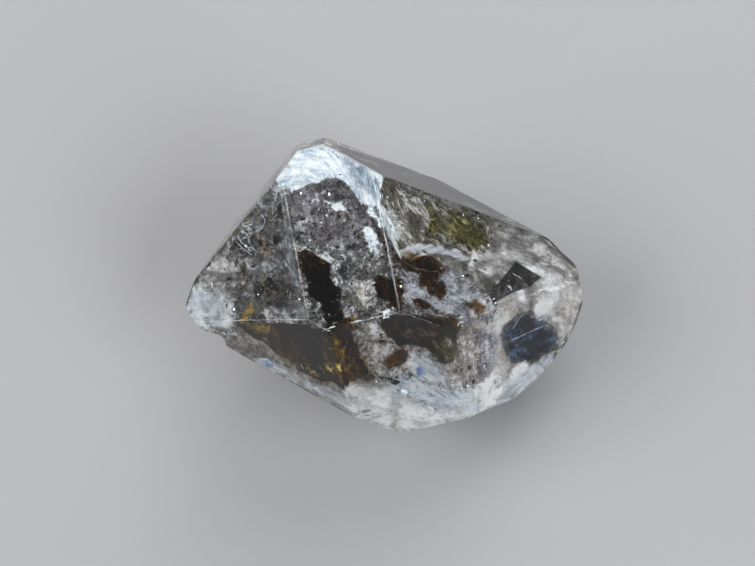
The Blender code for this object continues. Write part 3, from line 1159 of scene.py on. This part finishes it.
def crack_sheet(name, corners, face, depth, material, tilt=(0.0, 0.0), swell=0.12, grain=(0.0, 1.0),
                ragged=0.05, seed=0, focus=None, clear_of=(), soft=0.30):
    """A curved crack wall that shows with the given outline behind a face. Its depth is a tilted
    plane plus long and short waves. With a focus, ribs and grain run round it,
    as on a broken shell of glass. The wall thins out in front of the outlines it keeps clear of, and
    over a soft border along its rim."""
    flat, _, gap = outline_rings(corners, SHEET_RINGS, ragged, seed)
    away = flat - flat[0]
    sheet = depth + away @ np.array(tilt) + swell * waves(flat, 1.8, seed + 3) + 0.02 * waves(flat, 0.4, seed + 4)
    if focus is None:
        run = turned(flat, *grain)
    else:
        spoke = flat - from_pixels(focus)
        radius = np.linalg.norm(spoke, axis=1)
        angle = np.arctan2(spoke[:, 0], -spoke[:, 1])
        sheet = sheet + 0.03 * np.sin(2.0 * math.pi * radius / 0.28 + 1.5 * waves(flat, 0.8, seed + 5))
        run = np.stack([radius / grain[1], angle * radius.mean()], axis=1)
    points = held_inside(seen(flat, np.maximum(sheet, 0.04), face), min(0.05, 0.5 * depth))
    fade = 0.35 + 0.65 * np.minimum(gap / soft, 1.0)
    for outline in clear_of:
        hole = smooth_outline(from_pixels(outline), RIM_STEPS)
        hole_gap = np.linalg.norm(flat[:, None] - hole[None], axis=2).min(axis=1)
        fade = fade - within(flat, outline) * np.minimum(hole_gap / CLEAR_BORDER, 1.0)
    return add_piece(name, points, ring_faces(SHEET_RINGS), material, values={"fade": fade}, grain=run)


class QUARTZ_OT_clouds(bpy.types.Operator):
    """Makes the healed cracks: curved walls with stained, grey, milky and bluish patches, and a near-black strip
    of painted shade
    """
    bl_idname = "quartz.clouds"
    bl_label = "Healed Cracks"

    def execute(self, context):
        more = context.scene.quartz_cloud.amount
        lilac = crack_material("lilac_crack", LILAC_GREY, 0.35 + more, 0.9)
        grey = crack_material("grey_crack", WARM_GREY, 0.20 + more, 0.85, shift=3.0)
        brown = crack_material("brown_crack", DARK_BROWN, 0.25 + more, 0.92, shift=5.0)
        olive = crack_material("olive_crack", OLIVE_BROWN, 0.22 + more, 0.9, shift=7.0)
        milky = crack_material("milky_crack", MILKY, 0.46 + more, 0.76, blotch=1.2, grain=3.0, shift=9.0)
        strip = crack_material("blue_white_crack", SHEEN_WHITE, 0.12 + more, 0.85, shift=11.0)
        dusky = crack_material("dusky_crack", DUSKY, 0.22 + more, 0.85, blotch=1.2, grain=5.0, shift=4.0,
                               wisps=0.4)
        wispy = crack_material("wispy_crack", DUSKY, 0.10 + more, 0.90, blotch=1.4, grain=6.0,
                               shift=14.0, wisps=0.7)
        feathery = crack_material("feathery_crack", BLUE_WHITE, 0.08 + more, 0.42, blotch=3.0, grain=10.0,
                                  shift=12.0)
        warm = crack_material("warm_milky_crack", WARM_MILKY, 0.50 + more, 0.92, blotch=1.0, grain=3.0,
                              shift=31.0)
        # Painted shade, for the strip inside the upper back faces.
        painted_shade_sheet = crack_material("painted_shade_strip", PAINTED_SHADE_GREY, 0.55 + more, 0.95, grain=5.0, shift=19.0)
        beige = crack_material("beige_crack", BEIGE, 0.30 + more, 0.9, grain=5.0, shift=21.0)
        fill = crack_material("filling_haze", BEIGE, 0.35 + more, 0.72, blotch=1.1, grain=3.5, shift=23.0)
        grey_fill = crack_material("grey_filling_haze", WARM_GREY, 0.30 + more, 0.75, blotch=1.3,
                                   grain=5.0, shift=25.0)
        dim_fill = crack_material("dim_filling_haze", DUSKY, 0.30 + more, 0.80, blotch=1.3, grain=5.0,
                                  shift=41.0)
        pearl = crack_material("pearly_crack", PEARL, 0.50 + more, 0.92, blotch=1.0, grain=2.8, shift=43.0,
                               wisps=0.2)
        crack_sheet("haze_behind_top", TOP_FACE, TOP, 2.4, grey_fill, (0.05, 0.05), seed=150, soft=0.15)
        crack_sheet("haze_behind_right_top", RIGHT_TOP_FACE, RIGHT_TOP, 1.5, fill, seed=155, soft=0.15)
        crack_sheet("haze_behind_front", FRONT_FACE, FRONT, 1.9, fill, seed=160, soft=0.15)
        crack_sheet("haze_behind_right_front", RIGHT_FRONT_FACE, RIGHT_FRONT, 1.3, fill, seed=165, soft=0.15)
        crack_sheet("haze_behind_left_top", LEFT_TOP_FACE, LEFT_TOP, 1.9, dim_fill, seed=170, soft=0.15)
        crack_sheet("haze_behind_left_front", LEFT_FRONT_FACE, LEFT_FRONT, 1.9, grey_fill, seed=175,
                    soft=0.15)
        top_oils = (LONG_OIL, DARK_FLUID)
        right_oils = (RED_UPPER, RED_MIDDLE, RED_LOWER, RED_RIGHT, OLIVE_OIL, OLIVE_STREAK)
        front_oils = (SECOND_OIL, AMBER_LOBE)
        deep_brown = crack_material("deep_brown_crack", DARK_BROWN, 0.42 + more, 0.92, blotch=2.0,
                                    grain=8.0, shift=51.0)
        under = crack_material("under_tip_crack", UNDER_TIP, 0.60 + more, 0.96, blotch=1.4, grain=5.0,
                               shift=53.0)
        crack_sheet("light_patch", LIGHT_PATCH, TOP, 0.40, beige, seed=180, soft=0.15)
        crack_sheet("brown_patch", BROWN_PATCH, LEFT_TOP, 0.32, brown, seed=185, soft=0.12)
        crack_sheet("dark_ring", DARK_RING, LEFT_TOP, 0.32, deep_brown, seed=188, soft=0.12)
        crack_sheet("dark_hollow", DARK_HOLLOW, LEFT_TOP, 0.36, deep_brown, seed=192, soft=0.30)
        crack_sheet("ridge", RIDGE, RIGHT_TOP, 0.22, milky, seed=190, grain=(0.0, 3.0), soft=0.12)
        crack_sheet("top_cloud", TOP_CLOUD, TOP, 1.1, lilac, (0.10, -0.15), seed=200)
        crack_sheet("top_cloud_deep", TOP_CLOUD, TOP, 1.9, grey, (-0.10, 0.15), seed=210)
        crack_sheet("low_top_cloud", LOW_TOP_CLOUD, TOP, 1.7, brown, (-0.10, 0.10), seed=220)
        crack_sheet("low_top_cloud_pale", LOW_TOP_CLOUD, TOP, 0.35, dusky, (0.05, 0.05), seed=230,
                    clear_of=top_oils)
        crack_sheet("left_cloud", LEFT_CLOUD, LEFT_TOP, 0.9, dusky, (0.10, 0.05), seed=240)
        soft_grey = crack_material("soft_grey_crack", SOFT_GREY, 0.42 + more, 0.80, blotch=1.1, grain=4.0,
                                   shift=49.0, wisps=0.25)
        crack_sheet("left_cloud_near", LEFT_CLOUD, LEFT_TOP, 0.4, soft_grey, (0.05, 0.05), seed=250,
                    clear_of=(BROWN_PATCH, DARK_RING, DARK_HOLLOW))
        crack_sheet("white_veins", WHITE_VEINS, LEFT_TOP, 0.25, wispy, seed=255, soft=0.25)
        crack_sheet("tip_haze", TIP_HAZE, LEFT_TOP, 0.28, pearl, seed=275, swell=0.05, soft=0.4)
        crack_sheet("left_cloud_deep", LEFT_CLOUD, LEFT_TOP, 1.6, brown, (-0.10, 0.10), seed=260)
        crack_sheet("tip_cloud", TIP_CLOUD, LEFT_TOP, 0.20, milky, seed=270, swell=0.05, soft=0.5,
                    ragged=0.10)
        crack_sheet("tip_under_cloud", TIP_UNDER_CLOUD, LEFT_FRONT, 0.30, under, seed=280, swell=0.05)
        edge_blue = crack_material("edge_blue_crack", EDGE_BLUE, 0.28 + more, 0.66, blotch=1.6, grain=6.0,
                                   shift=57.0)
        crack_sheet("edge_strip", EDGE_STRIP, LEFT_TOP, 0.15, edge_blue, seed=290, swell=0.04,
                    grain=(-78.0, 2.5), soft=0.2)
        crack_sheet("right_top_cloud", RIGHT_TOP_CLOUD, RIGHT_TOP, 1.0, olive, seed=300,
                    grain=(-35.0, 3.0))
        umber = crack_material("umber_crack", UMBER, 0.20 + more, 0.88, blotch=1.4, grain=6.0, shift=4.0,
                               wisps=0.4)
        crack_sheet("right_top_cloud_near", RIGHT_TOP_CLOUD, RIGHT_TOP, 0.5, umber, seed=310,
                    grain=(-50.0, 2.5), clear_of=right_oils)
        crack_sheet("right_middle_cloud", RIGHT_MIDDLE_CLOUD, RIGHT_TOP, 0.9, lilac, seed=320,
                    grain=(-20.0, 2.0))
        crack_sheet("front_cloud", FRONT_CLOUD, FRONT, 0.35, grey, seed=330, clear_of=front_oils)
        crack_sheet("front_cloud_deep", FRONT_CLOUD, FRONT, 1.5, lilac, seed=340)
        pale = crack_material("pale_crack", MILKY, 0.38 + more, 0.80, blotch=1.2, grain=5.0, shift=55.0)
        crack_sheet("pale_zone", PALE_ZONE, FRONT, 0.24, pale, seed=345, swell=0.04, grain=(-30.0, 2.0),
                    soft=0.35)
        crack_sheet("right_middle_cloud_near", RIGHT_MIDDLE_CLOUD, RIGHT_TOP, 0.30, feathery, seed=325,
                    swell=0.05, grain=(-20.0, 2.0), clear_of=(RED_UPPER, RED_MIDDLE, RED_LOWER))
        crack_sheet("lower_streaks", LOWER_STREAKS, FRONT, 0.5, strip, seed=350, grain=(-27.0, 6.0))
        bottom = crack_material("bottom_crack", BOTTOM_WHITE, 0.50 + more, 0.95, blotch=1.3, grain=4.0,
                                shift=13.0)
        crack_sheet("bottom_cloud", BOTTOM_CLOUD, FRONT, 0.6, bottom, seed=360, grain=(-5.0, 2.0),
                    soft=0.35)
        crack_sheet("lower_edge_cloud", LOWER_EDGE_CLOUD, LEFT_FRONT, 0.25, milky, seed=370, swell=0.05,
                    grain=(-30.0, 3.0))
        crack_sheet("right_end_cloud", RIGHT_END_CLOUD, RIGHT_TOP, 0.45, pearl, seed=380,
                    grain=(-25.0, 2.0), swell=0.05, soft=0.4)
        crack_sheet("right_front_cloud", RIGHT_FRONT_CLOUD, RIGHT_FRONT, 0.8, warm, seed=390, soft=0.4,
                    clear_of=(BLUE_WINDOW,))
        crack_sheet("lower_right_band", LOWER_RIGHT_BAND, RIGHT_FRONT, 0.20, milky, seed=393, swell=0.03,
                    grain=(30.0, 3.0), soft=0.25)
        pale_warm = crack_material("pale_warm_crack", PALE_WARM, 0.50 + more, 0.92, blotch=1.0, grain=3.0,
                                   shift=59.0)
        crack_sheet("right_tip_cloud", RIGHT_TIP_CLOUD, RIGHT_FRONT, 0.3, pale_warm, seed=395, swell=0.03,
                    soft=0.2)
        # Painted shade: a near-black strip just inside the upper back faces.
        crack_sheet("upper_shade_strip", UPPER_SHADE_STRIP, RIGHT_BACK, 0.08, painted_shade_sheet, seed=397, swell=0.01,
                    grain=(-27.0, 5.0), ragged=0.01, soft=0.10)
        return {"FINISHED"}


class QUARTZ_OT_fracture(bpy.types.Operator):
    """Makes the shell-shaped fracture near the top with its sheen painted in near-white, its feather, the white
    patches with painted glints, the blue spots, and the painted highlights of the bright spots and bottom glows
    """
    bl_idname = "quartz.fracture"
    bl_label = "Bright Fracture"

    def execute(self, context):
        # The fracture's brightness is a painted sheen: near-white patches stand in for the light that it mirrors.
        bright = crack_material("fracture_with_painted_sheen", SHEEN_WHITE, 0.62, 0.98, blotch=1.3, grain=5.0,
                                roughness=0.22, relief_mm=0.02, wisps=0.2)
        # White veil patches, brightened as painted glints.
        patch = crack_material("white_veil_and_glint", SHEEN_WHITE, 0.30, 1.0, blotch=3.5, grain=11.0,
                               roughness=0.2)
        # Painted highlights, for the bright spots and the bottom glows.
        painted_highlight_patch = crack_material("painted_highlight_patch", HIGHLIGHT_WHITE, 0.56, 0.96, blotch=1.2, grain=3.0,
                                      roughness=0.2, wisps=0.0)
        feather = crack_material("feather", SHEEN_WHITE, 0.10, 0.95, blotch=1.6, grain=6.0)
        blue = crack_material("blue_spot", SPOT_BLUE, 0.50, 0.75, blotch=2.5, grain=8.0)
        crack_sheet("fracture_with_painted_sheen", SHEEN, TOP, 0.30, bright, swell=0.05, seed=400, ragged=0.06, soft=0.22,
                    grain=(0.0, 0.35), focus=SHEEN_FOCUS, clear_of=(SHEEN_ARCH,))
        # Painted shade on the dimmer right part of the painted sheen.
        shade = crack_material("sheen_shade", SHADE_BLUE, 0.52, 0.88, blotch=1.0, grain=4.0, shift=39.0)
        crack_sheet("sheen_shade", SHEEN_SHADE, TOP, 0.20, shade, swell=0.03, seed=405, soft=0.25,
                    grain=(0.0, 0.3), focus=SHEEN_FOCUS)
        crack_sheet("feather", FEATHER, TOP, 0.25, feather, swell=0.04, seed=410, grain=(-68.0, 5.0),
                    soft=0.15)
        for k, corners in enumerate(WHITE_GLINTS):
            crack_sheet(f"white_veil_and_glint_{k}", corners, TOP, 0.30, patch, swell=0.03, seed=420 + 10 * k,
                        ragged=0.08, soft=0.10)
        for k, (corners, face) in enumerate(zip(BLUE_SPOTS, (LEFT_FRONT, FRONT))):
            crack_sheet(f"blue_spot_{k}", corners, face, 0.12, blue, swell=0.02, seed=490 + 10 * k,
                        ragged=0.02, soft=0.12)
        # Painted highlights on the right front face.
        for k, corners in enumerate(HIGHLIGHT_SPOTS):
            crack_sheet(f"painted_highlight_spot_{k}", corners, RIGHT_FRONT, 0.16, painted_highlight_patch, swell=0.02,
                        seed=520 + 10 * k, ragged=0.03, soft=0.34)
        # Painted highlights: soft glows along the bottom.
        for k, corners in enumerate(BOTTOM_GLOWS):
            crack_sheet(f"bottom_glow_{k}", corners, FRONT, 0.18, painted_highlight_patch, swell=0.02,
                        seed=630 + 10 * k, grain=(-15.0, 2.0), ragged=0.08, soft=0.40)
        return {"FINISHED"}


class QUARTZ_OT_windows(bpy.types.Operator):
    """Makes the two dark films near the right end"""
    bl_idname = "quartz.windows"
    bl_label = "Dark Films"

    def execute(self, context):
        smoky = crack_material("smoky_film", SMOKY, 0.90, 0.95, blotch=1.0, grain=3.0, shift=15.0,
                               roughness=0.2, wisps=0.1, gloss=0.1)
        blue = crack_material("blue_film", BLUE_BLACK, 0.50, 0.97, blotch=0.8, grain=2.0, shift=17.0,
                              roughness=0.2, gloss=0.15)
        crack_sheet("smoky_film", SMOKY_QUAD, RIGHT_TOP, 0.35, smoky, swell=0.02, ragged=0.0, seed=600,
                    soft=0.05)
        crack_sheet("blue_film", BLUE_WINDOW, RIGHT_FRONT, 0.55, blue, swell=0.06, ragged=0.05, seed=610,
                    soft=0.50)
        return {"FINISHED"}


# Platelets, hair cracks, painted edge highlights and bitumen

FLAKE_CORNERS = 6
SHARE_OVER_OIL = 0.10


def flake_cloud(name, corners, face, depth, spread, count, size, material, brightness, seed,
                clear_of=()):
    """Many small platelets scattered on a curved wall: each is a six-cornered plate of random radius
    and turn, tipped at random from the wall, with one tone. Brightness is the mean tone. Few lie in
    front of the outlines that the wall keeps clear of."""
    random = np.random.default_rng(seed)
    rim = smooth_outline(from_pixels(corners), RIM_STEPS)
    middle = rim.mean(axis=0)
    spoke = rim[random.integers(0, RIM_STEPS, count)]
    flat = middle + np.sqrt(random.uniform(0.0, 1.0, count))[:, None] * (spoke - middle)
    lumpy = waves(flat, 0.9, seed + 1) + 0.7 * waves(flat, 0.3, seed + 2)
    kept = lumpy > -0.35
    thinned = random.uniform(0.0, 1.0, len(flat)) > SHARE_OVER_OIL
    for outline in clear_of:
        kept &= ~(within(flat, outline) & thinned)
    flat = flat[kept]
    number = len(flat)
    sheet = depth + 0.12 * waves(flat, 1.8, seed + 3) + spread * random.normal(size=number)
    place = held_inside(seen(flat, np.maximum(sheet, 0.08), face), 0.11)
    normal = unit(BACK + 0.55 * random.normal(size=(number, 3)))
    side = unit(np.cross(normal, random.normal(size=(number, 3))))
    other = np.cross(normal, side)
    radius = size * random.lognormal(0.0, 0.5, number)
    turn = (np.arange(FLAKE_CORNERS) / FLAKE_CORNERS * 2.0 * math.pi)[None, :]
    reach = radius[:, None] * random.uniform(0.55, 1.25, (number, FLAKE_CORNERS))
    long = random.uniform(0.5, 1.6, number)[:, None]
    points = (
        place[:, None]
        + (reach * np.cos(turn) * long)[..., None] * side[:, None]
        + (reach * np.sin(turn) / long)[..., None] * other[:, None]
    )
    tone = brightness + 0.36 * (random.beta(1.3, 1.3, number) - 0.5) + 0.36 * waves(flat, 0.55, seed + 4)
    tone = np.clip(tone, 0.0, 1.0)
    faces = np.arange(number * FLAKE_CORNERS).reshape(number, FLAKE_CORNERS).tolist()
    return add_piece(name, points.reshape(-1, 3), faces, material, smooth=False,
                     values={"tone": np.repeat(tone, FLAKE_CORNERS)})


class QUARTZ_OT_flakes(bpy.types.Operator):
    """Makes the platelets of the healed cracks"""
    bl_idname = "quartz.flakes"
    bl_label = "Platelets"

    def execute(self, context):
        size = context.scene.quartz_cloud.flake_size
        lilac = flake_material("lilac_platelet", LILAC_GREY, 0.25)
        grey = flake_material("grey_platelet", WARM_GREY, 0.25)
        brown = flake_material("brown_platelet", OLIVE_BROWN, 0.3)
        dusky = flake_material("dusky_platelet", DUSKY, 0.25)
        white = flake_material("white_platelet", BLUE_WHITE, 0.2)
        top_oils = (LONG_OIL, DARK_FLUID)
        right_oils = (RED_UPPER, RED_MIDDLE, RED_LOWER, RED_RIGHT, OLIVE_OIL, OLIVE_STREAK)
        front_oils = (SECOND_OIL, AMBER_LOBE)
        flake_cloud("top_flakes", TOP_CLOUD, TOP, 0.9, 0.10, 2000, size, lilac, 0.40, 700, top_oils)
        flake_cloud("low_top_flakes", LOW_TOP_CLOUD, TOP, 0.6, 0.12, 1300, size, dusky, 0.48, 710, top_oils)
        flake_cloud("left_flakes", LEFT_CLOUD, LEFT_TOP, 0.36, 0.08, 700, size, dusky, 0.48, 720)
        flake_cloud("left_dark_flakes", LEFT_CLOUD, LEFT_TOP, 0.38, 0.08, 450, size, brown, 0.38, 725)
        flake_cloud("tip_flakes", TIP_CLOUD, LEFT_TOP, 0.25, 0.04, 260, size, white, 0.7, 730)
        flake_cloud("right_top_flakes", RIGHT_TOP_CLOUD, RIGHT_TOP, 0.6, 0.12, 1400, size, brown, 0.44,
                    740, right_oils)
        flake_cloud("right_middle_flakes", RIGHT_MIDDLE_CLOUD, RIGHT_TOP, 0.6, 0.10, 1300, size, lilac,
                    0.62, 750, right_oils)
        flake_cloud("front_flakes", FRONT_CLOUD, FRONT, 0.5, 0.10, 1600, size, grey, 0.5, 760, front_oils)
        flake_cloud("streak_flakes", LOWER_STREAKS, FRONT, 0.5, 0.08, 800, size, white, 0.5, 770)
        flake_cloud("right_front_flakes", RIGHT_FRONT_CLOUD, RIGHT_FRONT, 0.6, 0.12, 500, size, white,
                    0.5, 780, (BLUE_WINDOW,))
        silver = flake_material("silver_platelet", BLUE_WHITE[2:], 0.12)
        silver.node_tree.nodes["Principled BSDF"].inputs["Metallic"].default_value = 1.0
        fine = 0.42 * size
        flake_cloud("top_glints", TOP_CLOUD, TOP, 0.6, 0.15, 420, fine, silver, 0.8, 800)
        flake_cloud("left_glints", LEFT_CLOUD, LEFT_TOP, 0.3, 0.10, 420, fine, silver, 0.8, 810)
        flake_cloud("right_glints", RIGHT_TOP_CLOUD, RIGHT_TOP, 0.35, 0.10, 320, fine, silver, 0.8, 820)
        flake_cloud("middle_glints", RIGHT_MIDDLE_CLOUD, RIGHT_TOP, 0.35, 0.10, 260, fine, silver, 0.8, 830)
        flake_cloud("front_glints", FRONT_CLOUD, FRONT, 0.3, 0.10, 360, fine, silver, 0.8, 840)
        flake_cloud("oil_edge_flakes", BROWN_OIL, LEFT_FRONT, 0.25, 0.06, 260, size, brown, 0.5, 790)
        return {"FINISHED"}


THREAD_STEPS = 60
THREAD_SIDES = 6


def thread(corners, face, depth, radius, seed):
    """A thin tapered tube along a given path: a circle carried along a smooth curve, its radius
    falling to the ends as the square root of a half sine."""
    path = smooth_path(from_pixels(corners), THREAD_STEPS)
    path = path + 0.012 * np.stack([waves(path, 0.35, seed), waves(path, 0.35, seed + 1)], axis=1)
    centre = held_inside(seen(path, depth, face), 0.04)
    along = unit(np.gradient(centre, axis=0))
    side = unit(np.cross(along, BACK))
    other = np.cross(side, along)
    share = np.linspace(0.0, 1.0, THREAD_STEPS)
    uneven = 1.0 + 0.6 * waves(path, 0.25, seed + 2)
    taper = radius * (0.15 + 0.85 * np.sqrt(np.sin(math.pi * share))) * uneven
    turn = np.arange(THREAD_SIDES) / THREAD_SIDES * 2.0 * math.pi
    ring = np.cos(turn)[None, :, None] * side[:, None] + np.sin(turn)[None, :, None] * other[:, None]
    points = (centre[:, None] + taper[:, None, None] * ring).reshape(-1, 3)
    last = (THREAD_STEPS - 1) * THREAD_SIDES
    caps = [list(range(THREAD_SIDES)), list(range(last, last + THREAD_SIDES))]
    return points, grid_faces(THREAD_STEPS, THREAD_SIDES) + caps


def joined(parts):
    """Points and faces of several small meshes as one."""
    points, faces, count = [], [], 0
    for part_points, part_faces in parts:
        points.append(part_points)
        faces += [[count + i for i in face] for face in part_faces]
        count += len(part_points)
    return np.concatenate(points), faces


class QUARTZ_OT_hairs(bpy.types.Operator):
    """Makes the white hair cracks, and white threads along facet edges as painted edge highlights"""
    bl_idname = "quartz.hairs"
    bl_label = "Hair Cracks and Edge Highlights"

    def execute(self, context):
        # White for the hair cracks, and for the threads along facet edges, where it is a painted highlight.
        material = plain_material("white_hair_and_edge_highlight", (0.80, 0.84, 0.88), 0.3)
        sets = ((TOP_HAIRS, TOP, 0.35), (RIGHT_HAIRS, RIGHT_TOP, 0.35), (FRONT_HAIRS, FRONT, 0.35),
                (RIGHT_FRONT_HAIRS, RIGHT_FRONT, 0.5), (LEFT_HAIRS, LEFT_TOP, 0.10),
                (LOWER_EDGE_HIGHLIGHTS, LEFT_FRONT, 0.10),
                (EDGE_HIGHLIGHTS, TOP, 0.10))
        parts = []
        for paths, face, depth in sets:
            parts += [thread(path, face, depth, 0.010, 800 + 7 * len(parts) + k)
                      for k, path in enumerate(paths)]
        piece = add_piece("hair_cracks_and_edge_highlights", *joined(parts), material)
        tidy_normals(piece)
        return {"FINISHED"}


SPECK_ROWS = 4
SPECK_SIDES = 8


def specks(groups, face, depth, size, seed):
    """Small lumps: balls whose points are moved out or in by waves, flattened and placed at random
    round the middle of each group."""
    random = np.random.default_rng(seed)
    middles = np.concatenate([
        np.asarray(middle) + np.asarray(reach) * random.normal(0.0, 0.5, (count, 2))
        for middle, reach, count in groups
    ])
    number = len(middles)
    sheet = np.maximum(depth + 0.06 * random.normal(size=number), 0.12)
    place = held_inside(seen(from_pixels(middles), sheet, face), 0.10)
    slope = np.linspace(0.0, math.pi, SPECK_ROWS + 2)[1:-1]
    turn = np.arange(SPECK_SIDES) / SPECK_SIDES * 2.0 * math.pi
    ball = np.concatenate([
        np.stack(np.broadcast_arrays(
            np.sin(slope)[:, None] * np.cos(turn),
            np.sin(slope)[:, None] * np.sin(turn),
            np.cos(slope)[:, None] * np.ones_like(turn),
        ), axis=-1).reshape(-1, 3),
        [[0.0, 0.0, 1.0], [0.0, 0.0, -1.0]],
    ])
    radius = size * random.lognormal(0.0, 0.55, number)
    stretch = random.uniform(0.5, 1.5, (number, 1, 3))
    shape = ball[None] * stretch * radius[:, None, None]
    shape = shape * (1.0 + 0.35 * waves(shape + place[:, None], 0.08, seed + 1))[..., None]
    points = (place[:, None] + shape).reshape(-1, 3)
    high = SPECK_ROWS * SPECK_SIDES
    last = high - SPECK_SIDES
    one = grid_faces(SPECK_ROWS, SPECK_SIDES)
    one += [[j, (j + 1) % SPECK_SIDES, high] for j in range(SPECK_SIDES)]
    one += [[last + (j + 1) % SPECK_SIDES, last + j, high + 1] for j in range(SPECK_SIDES)]
    faces = [[first * len(ball) + i for i in corner] for first in range(number) for corner in one]
    return points, faces


class QUARTZ_OT_bitumen(bpy.types.Operator):
    """Makes the black bitumen specks"""
    bl_idname = "quartz.bitumen"
    bl_label = "Bitumen Specks"

    def execute(self, context):
        material = plain_material("bitumen", (0.006, 0.005, 0.004), 0.25)
        parts = [
            specks(TOP_SPECKS, TOP, 0.26, 0.030, 900),
            specks(LEFT_SPECKS, LEFT_TOP, 0.22, 0.032, 910),
            specks(FRONT_SPECKS, FRONT, 0.24, 0.030, 920),
            specks(RIGHT_SPECKS, RIGHT_TOP, 0.26, 0.028, 930),
        ]
        piece = add_piece("bitumen_specks", *joined(parts), material)
        tidy_normals(piece)
        return {"FINISHED"}


# Floor, light and camera

FLOOR_HALF = 1.2


def area_light(name, place, size, power, colour):
    """A rectangular soft light that faces the crystal."""
    light = bpy.data.lights.new(name, "AREA")
    light.shape = "RECTANGLE"
    light.size, light.size_y = size
    light.energy = power
    light.color = colour
    lamp = bpy.data.objects.new(name, light)
    lamp.location = place
    away = lamp.location.copy()
    away.z -= MIDDLE[2] * MM
    lamp.rotation_mode = "QUATERNION"
    lamp.rotation_quaternion = away.to_track_quat("Z", "Y")
    bpy.context.scene.collection.objects.link(lamp)
    return lamp


def floor_material(colour):
    material, _, _, shader, _ = new_material("pale_floor")
    shader.inputs["Base Color"].default_value = (*colour, 1.0)
    shader.inputs["Roughness"].default_value = 0.9
    shader.inputs["Specular IOR Level"].default_value = 0.1
    return material


def add_floor(colour):
    mesh = bpy.data.meshes.new("floor")
    corners = [(-FLOOR_HALF, -FLOOR_HALF, 0.0), (FLOOR_HALF, -FLOOR_HALF, 0.0),
               (FLOOR_HALF, FLOOR_HALF, 0.0), (-FLOOR_HALF, FLOOR_HALF, 0.0)]
    mesh.from_pydata(corners, [], [(0, 1, 2, 3)])
    mesh.materials.append(floor_material(colour))
    floor = bpy.data.objects.new("floor", mesh)
    bpy.context.scene.collection.objects.link(floor)


def add_camera(distance, picture_width_mm):
    """The camera looks along the photo's viewing direction at the middle of the picture."""
    camera = bpy.data.objects.new("camera", bpy.data.cameras.new("camera"))
    camera.data.sensor_width = 36.0
    camera.data.lens = camera.data.sensor_width * distance / (picture_width_mm * MM)
    across, up = from_pixels(PICTURE_CENTRE_PIXEL)
    camera.location = (MIDDLE + across * RIGHT + up * UP) * MM + BACK * distance
    camera.rotation_mode = "QUATERNION"
    camera.rotation_quaternion = Matrix((RIGHT, UP, BACK)).transposed().to_quaternion()
    camera.data.clip_start = 0.01
    camera.data.clip_end = 5.0
    camera.data.dof.use_dof = False
    bpy.context.scene.collection.objects.link(camera)
    bpy.context.scene.camera = camera


class QUARTZ_OT_stage(bpy.types.Operator):
    """Makes the pale floor, the soft studio light and the camera at the photo's viewing angle"""
    bl_idname = "quartz.stage"
    bl_label = "Stage"

    def execute(self, context):
        settings = context.scene.quartz_stage
        scene = context.scene
        add_floor(settings.floor_colour)
        world = bpy.data.worlds.new("studio")
        world.use_nodes = True
        backdrop = world.node_tree.nodes["Background"]
        backdrop.inputs["Color"].default_value = (0.34, 0.35, 0.37, 1.0)
        backdrop.inputs["Strength"].default_value = 0.75
        scene.world = world
        area_light("key_light", (-0.28, 0.04, 0.24), (0.30, 0.30), 1.7, (1.0, 0.99, 0.97))
        area_light("back_light", (0.19, 0.23, 0.22), (0.30, 0.30), 1.3, (1.0, 0.99, 0.97))
        area_light("fill_light", (0.24, -0.19, 0.26), (0.30, 0.20), 1.7, (0.93, 0.96, 1.0))
        area_light("rim_light", (0.10, 0.34, 0.10), (0.30, 0.12), 0.5, (0.97, 0.98, 1.0))
        add_camera(settings.camera_distance, settings.picture_width_mm)
        scene.cycles.max_bounces = 32
        scene.cycles.transmission_bounces = 32
        scene.cycles.transparent_max_bounces = 64
        scene.cycles.glossy_bounces = 8
        scene.view_settings.view_transform = "Standard"
        return {"FINISHED"}


class QUARTZ_PT_panel(bpy.types.Panel):
    bl_idname = "QUARTZ_PT_panel"
    bl_label = "Petroleum Quartz"
    bl_space_type = "VIEW_3D"
    bl_region_type = "UI"
    bl_category = "Petroleum Quartz"

    def draw(self, context):
        for operator in OPERATORS:
            self.layout.operator(operator.bl_idname)


SETTINGS = (
    ("quartz_skin", QuartzSkinSettings),
    ("quartz_oil", QuartzOilSettings),
    ("quartz_cloud", QuartzCloudSettings),
    ("quartz_stage", QuartzStageSettings),
)
OPERATORS = (
    QUARTZ_OT_skin, QUARTZ_OT_oil, QUARTZ_OT_clouds, QUARTZ_OT_fracture, QUARTZ_OT_windows,
    QUARTZ_OT_flakes, QUARTZ_OT_hairs, QUARTZ_OT_bitumen, QUARTZ_OT_stage,
)


def register():
    for name, settings in SETTINGS:
        bpy.utils.register_class(settings)
        setattr(bpy.types.Scene, name, PointerProperty(type=settings))
    for operator in OPERATORS:
        bpy.utils.register_class(operator)
    bpy.utils.register_class(QUARTZ_PT_panel)


def unregister():
    bpy.utils.unregister_class(QUARTZ_PT_panel)
    for operator in reversed(OPERATORS):
        bpy.utils.unregister_class(operator)
    for name, settings in reversed(SETTINGS):
        delattr(bpy.types.Scene, name)
        bpy.utils.unregister_class(settings)


def main():
    register()
    bpy.ops.quartz.skin()
    bpy.ops.quartz.oil()
    bpy.ops.quartz.clouds()
    bpy.ops.quartz.fracture()
    bpy.ops.quartz.windows()
    bpy.ops.quartz.flakes()
    bpy.ops.quartz.hairs()
    bpy.ops.quartz.bitumen()
    bpy.ops.quartz.stage()


if __name__ == "__main__":
    main()
